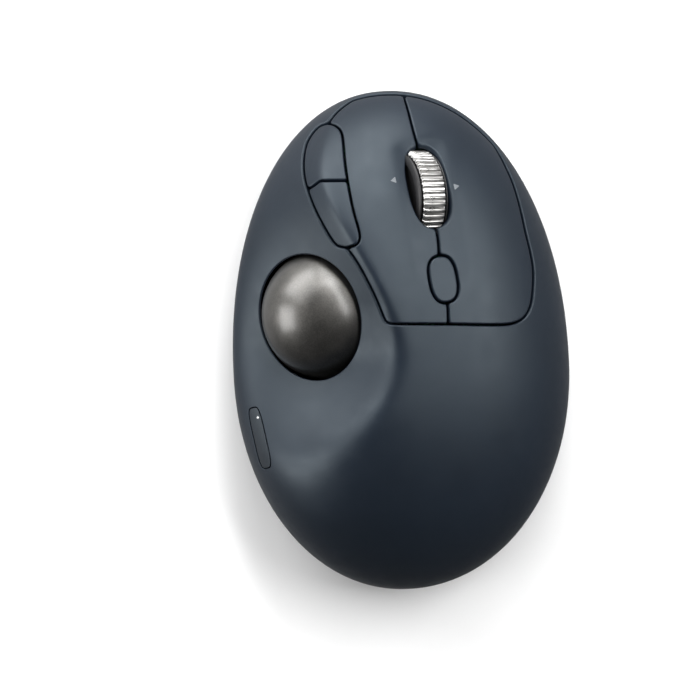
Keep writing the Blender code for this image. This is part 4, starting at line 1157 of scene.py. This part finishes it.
def wheel_frame():
    """The wheel's own frame: axle, tangent to the shell towards the front, and up. Then its centre."""
    right = Vector((math.cos(SLOT_TURN), math.sin(SLOT_TURN), 0))
    ahead = Vector((-math.sin(SLOT_TURN), math.cos(SLOT_TURN), 0))
    low_corner, high_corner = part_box("wheel_tread")
    middle = ((low_corner + high_corner) / 2 - SHIFT) / MM
    over = Vector((SLOT_CENTRE[0], SLOT_CENTRE[1], height(*SLOT_CENTRE)))
    nose = over + ahead * SLOPE_REACH
    tail = over - ahead * SLOPE_REACH
    drop = math.atan((height(tail.x, tail.y) - height(nose.x, nose.y)) / (2 * SLOPE_REACH))
    front = ahead * math.cos(drop) - Vector((0, 0, math.sin(drop)))
    up = right.cross(front) * math.cos(WHEEL_LEAN) + right * math.sin(WHEEL_LEAN)
    return Matrix((front.cross(up), front, up)).transposed(), middle


def build_wheel():
    turn, middle = wheel_frame()
    to_axle = turn @ Matrix(((0, 0, 1), (1, 0, 0), (0, 1, 0)))
    half = TREAD_WIDTH / 2
    low = WHEEL_R - RIDGE_DEPTH
    rows = [(-half, TREAD_BORE), (-half, low), (-half + 0.1, WHEEL_R - 0.3), (-half + 0.45, WHEEL_R),
            (half - 0.45, WHEEL_R), (half - 0.1, WHEEL_R - 0.3), (half, low), (half, TREAD_BORE)]
    across = [2 * k / (RIDGE_TOP_POINTS - 1) - 1 for k in range(RIDGE_TOP_POINTS)]
    tooth = [RIDGE_DEPTH * (1 - math.sqrt(1 - u * u)) for u in across] + [RIDGE_DEPTH] * RIDGE_GROOVE_POINTS
    around = RIDGES * len(tooth)
    points = []
    for z, r in rows:
        for i in range(around):
            a = 2 * math.pi * i / around
            radius = r - min(tooth[i % len(tooth)], max(0.0, r - low))
            points.append(to_axle @ Vector((radius * math.cos(a), radius * math.sin(a), z)) + middle)
    faces = []
    for k in range(len(rows)):
        a = k * around
        b = ((k + 1) % len(rows)) * around
        faces += [(a + i, a + (i + 1) % around, b + (i + 1) % around, b + i) for i in range(around)]
    tread = new_object("wheel_tread_ring", points, faces, 50)
    dress(tread, WHEEL_METAL, "scroll_wheel", "wheel_metal", "wheel_tread")
    side = [(10.35, 3.35), (11.25, 3.35)] + arc((11.25, 3.6), 0.25, -90, 60, 5)
    side += [(10.4, 4.1), (9.6, 4.2), (9.2, 3.9), (5.2, 3.9), (4.8, 4.2), (1.85, 4.2)]
    profile = [(r, -z) for r, z in reversed(side)] + side
    hub = lathe("wheel_core", profile, 120, middle, to_axle, 30)
    dress(hub, BLACK_SKIN, "scroll_wheel", "black_plastic", "wheel_hub")


# ---------------- underside


def build_base():
    x, y = RECEIVER_AT
    wide, long = RECEIVER_HALF
    bay = [(x + sx * wide, y + sy * long) for sx, sy in CORNERS]
    bay = round_corners(resample(bay, PLAN_SPACING, True), 0.8, BUTTON_SPACING)
    holes = [circle((BALL[0], BALL[1]), EJECT_R, 70), pill(POWER_AT, POWER_SIZE, 0, 48, SQUARE),
             circle(CONNECT_AT, CONNECT_R, 40), bay]
    holes += [circle(at, SCREW_HOLE_R, 40) for at in REAR_SCREWS + FRONT_SCREWS]
    base = lift("base_skin", BASE, egg_rim(), holes, BASE_SPACING, FLOOR_T, BASE_EDGE, True)
    loop = pill(USB_AT, USB_SIZE, 0, 48, SQUARE)
    points = [(x, y, z) for y in (USB_FROM, USB_TO) for x, z in loop]
    cut(base, new_object("port", points, tube_faces(len(loop))))
    dress(base, BASE_SKIN, "base", "base_plastic", "bottom_shell")
    for k, (x, y, wide, long, tilt) in enumerate(FEET):
        loop = pill((x, y), (wide, long), math.radians(tilt), 72)
        foot = prism(f"foot_pad_{k + 1}", loop, 0.0, FLOOR_Z - 0.3, 0.25)
        dress(foot, FOOT_RUBBER, "base", "foot_rubber", f"foot_{k + 1}")
    for k, (x, y) in enumerate(REAR_SCREWS + FRONT_SCREWS):
        profile = [(0, 1.35), (2.1, 1.3)] + arc((SCREW_R - 0.25, 1.55), 0.25, -90, 0, 4)
        profile += [(SCREW_R, 2.1), (1.1, 2.1), (1.1, 12.0), (0, 12.0)]
        screw = lathe(f"screw_{k + 1}", profile, 40, (x, y, 0))
        turn = math.radians(20 + 37 * k)
        slots = []
        for quarter in (0, 90):
            a = turn + math.radians(quarter)
            slots.append(box("cross", (x, y, 1.2), CROSS_SIZE, Matrix.Rotation(a, 3, "Z")))
        cut(screw, *slots)
        dress(screw, ZINC, "base", "screw_steel", f"case_screw_{k + 1}")


def copy_node(name, node, bevel):
    """A CAD piece with its edges softened."""
    obj = put(name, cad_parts[node].data.copy())
    bm = bmesh.new()
    bm.from_mesh(obj.data)
    bmesh.ops.remove_doubles(bm, verts=bm.verts, dist=1e-7)
    bmesh.ops.dissolve_limit(bm, angle_limit=math.radians(1), verts=bm.verts, edges=bm.edges)
    bm.to_mesh(obj.data)
    bm.free()
    obj.data.shade_smooth()
    soften(obj, bevel, 2)
    obj.data.shade_smooth()
    obj.data.set_sharp_from_angle(angle=math.radians(50))
    return obj


# Node: (body, slot, material, edge radius)
SOFTENED = {
    "power_slider": ("power_slider", "base_plastic", BASE_SKIN, 0.3),
    "connect_button": ("connect_button", "base_plastic", BASE_SKIN, 0.3),
    "receiver_case": ("receiver", "black_plastic", BLACK_SKIN, 0.4),
    "receiver_plug": ("receiver", "steel", STEEL, 0.25),
    "battery": ("base", "battery_wrap", BATTERY_SKIN, 0.8),
}
for key in ("left", "right", "dpi", "forward", "back"):
    SOFTENED[key + "_switch"] = ("base", "switch_plastic", SWITCH_SKIN, 0.3)

# CAD pieces that are shown as they are
CARRIED = {
    "status_led": LED_SKIN,
    "support_bearing_1": CERAMIC, "support_bearing_2": CERAMIC, "support_bearing_3": CERAMIC,
    "sensor_lens": LENS, "optical_sensor": CHIP_SKIN, "sensor_board": BOARD, "sensor_cable": CABLE_SKIN,
    "main_board": BOARD, "battery_lead": LEAD_SKIN, "usb_c_socket": STEEL, "radio_shield": STEEL,
    "controller_chip": CHIP_SKIN, "upper_board": BOARD, "inner_frame": FRAME_SKIN,
    "wheel_click_switch": SWITCH_SKIN, "connect_switch": SWITCH_SKIN, "power_switch": STEEL,
    "receiver_bay": BLACK_SKIN, "wheel_carrier": FRAME_SKIN, "wheel_encoder": ENCODER_SKIN,
    "wheel_axle": STEEL, "wheel_rocker": FRAME_SKIN,
}


def build_rest():
    for node, (body, slot, material, bevel) in SOFTENED.items():
        dress(copy_node(node + "_piece", node, bevel), material, body, slot, node)
    for node, material in CARRIED.items():
        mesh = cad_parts[node].data
        mesh.materials.clear()
        mesh.materials.append(material)


# ---------------- studio


def area_light(name, at, along, size, radiance, glossy=True):
    """A softbox that faces the object. Its first side runs as near to along as that allows."""
    data = bpy.data.lights.new(name, "AREA")
    data.shape = "RECTANGLE"
    data.size = size[0]
    data.size_y = size[1]
    data.energy = radiance * math.pi * size[0] * size[1]
    lamp = put(name, data)
    back = (Vector(at) - Vector(LIT_POINT)).normalized()
    side = (Vector(along) - back * back.dot(Vector(along))).normalized()
    turn = Matrix((side, back.cross(side), back)).transposed()
    lamp.matrix_world = Matrix.Translation(at) @ turn.to_4x4()
    lamp.visible_glossy = glossy


def build_studio():
    mesh = bpy.data.meshes.new("floor")
    corners = [(sx * FLOOR_HALF, sy * FLOOR_HALF, 0) for sx, sy in CORNERS]
    mesh.from_pydata(corners, [], [(0, 1, 2, 3)])
    floor = put("floor", mesh)
    g = Graph("floor_paper")
    stops = [(0.2, (0.90, 0.90, 0.90)), (0.8, (0.93, 0.93, 0.93))]
    g.colour(g.noise(40.0), stops)
    g.set(Roughness=0.9, Specular_IOR_Level=0.0)
    mesh.materials.append(g.material)
    floor.visible_glossy = False
    build_room()
    area_light("overhead_fill", (0.1, 0.1, 1.3), (1, 0, 0), (2.4, 2.4), 0.45, glossy=False)
    area_light("front_strip", (0.33, 0.51, 0.88), (0.39, -0.92, 0), (1.4, 0.14), 11.5)
    area_light("right_box", (0.865, 0.35, 0.583), (-0.37, 0.93, 0), (0.9, 0.42), 5.6)
    area_light("front_box", (0.0, 1.02, 0.41), (1, 0, 0), (0.5, 0.8), 5.4)
    area_light("front_left_box", (-0.66, 0.66, 0.583), (0.7, 0.7, 0), (0.8, 0.42), 3.2)
    area_light("front_left_low_box", (-0.72, 0.81, 0.21), (0.74, 0.67, 0), (0.9, 0.42), 5.8)
    area_light("left_box", (-1.06, -0.12, 0.285), (0, 1, 0), (0.6, 0.6), 5.6)
    bpy.context.scene.view_settings.view_transform = "Standard"


def build_room():
    """The world: white behind the object, and a dim room lit from low in front that the object mirrors."""
    world = bpy.data.worlds.new("studio")
    world.use_nodes = True
    tree = world.node_tree
    place = add_node(tree, "TexCoord")
    facing = add_node(tree, "VectorMath")
    facing.operation = "DOT_PRODUCT"
    facing.inputs[1].default_value = Vector(BRIGHT_SIDE).normalized()
    room = add_node(tree, "MapRange", To_Min=ROOM_DARK, To_Max=ROOM_BRIGHT,
                    From_Min=ROOM_DARK_FROM, From_Max=ROOM_BRIGHT_FROM)
    path = add_node(tree, "LightPath")
    level = add_node(tree, "MapRange", To_Max=BACKDROP)
    tree.links.new(place.outputs["Generated"], facing.inputs[0])
    tree.links.new(facing.outputs["Value"], room.inputs["Value"])
    tree.links.new(room.outputs["Result"], level.inputs["To Min"])
    tree.links.new(path.outputs["Is Camera Ray"], level.inputs["Value"])
    tree.links.new(level.outputs["Result"], tree.nodes["Background"].inputs["Strength"])
    tree.nodes["Background"].inputs["Color"].default_value = (1, 1, 1, 1)
    bpy.context.scene.world = world


def build_camera():
    data = bpy.data.cameras.new("camera")
    data.lens = CAMERA_LENS
    data.sensor_width = CAMERA_SENSOR
    data.clip_start = 0.01
    camera = put("camera", data)
    camera.location = CAMERA_AT
    bpy.context.scene.camera = camera


build_camera()
PLAN = top_plan(PLAN_SPACING)
build_shell(PLAN)
build_buttons(PLAN)
build_marks()
build_ball()
build_wheel()
build_base()
build_rest()
build_studio()
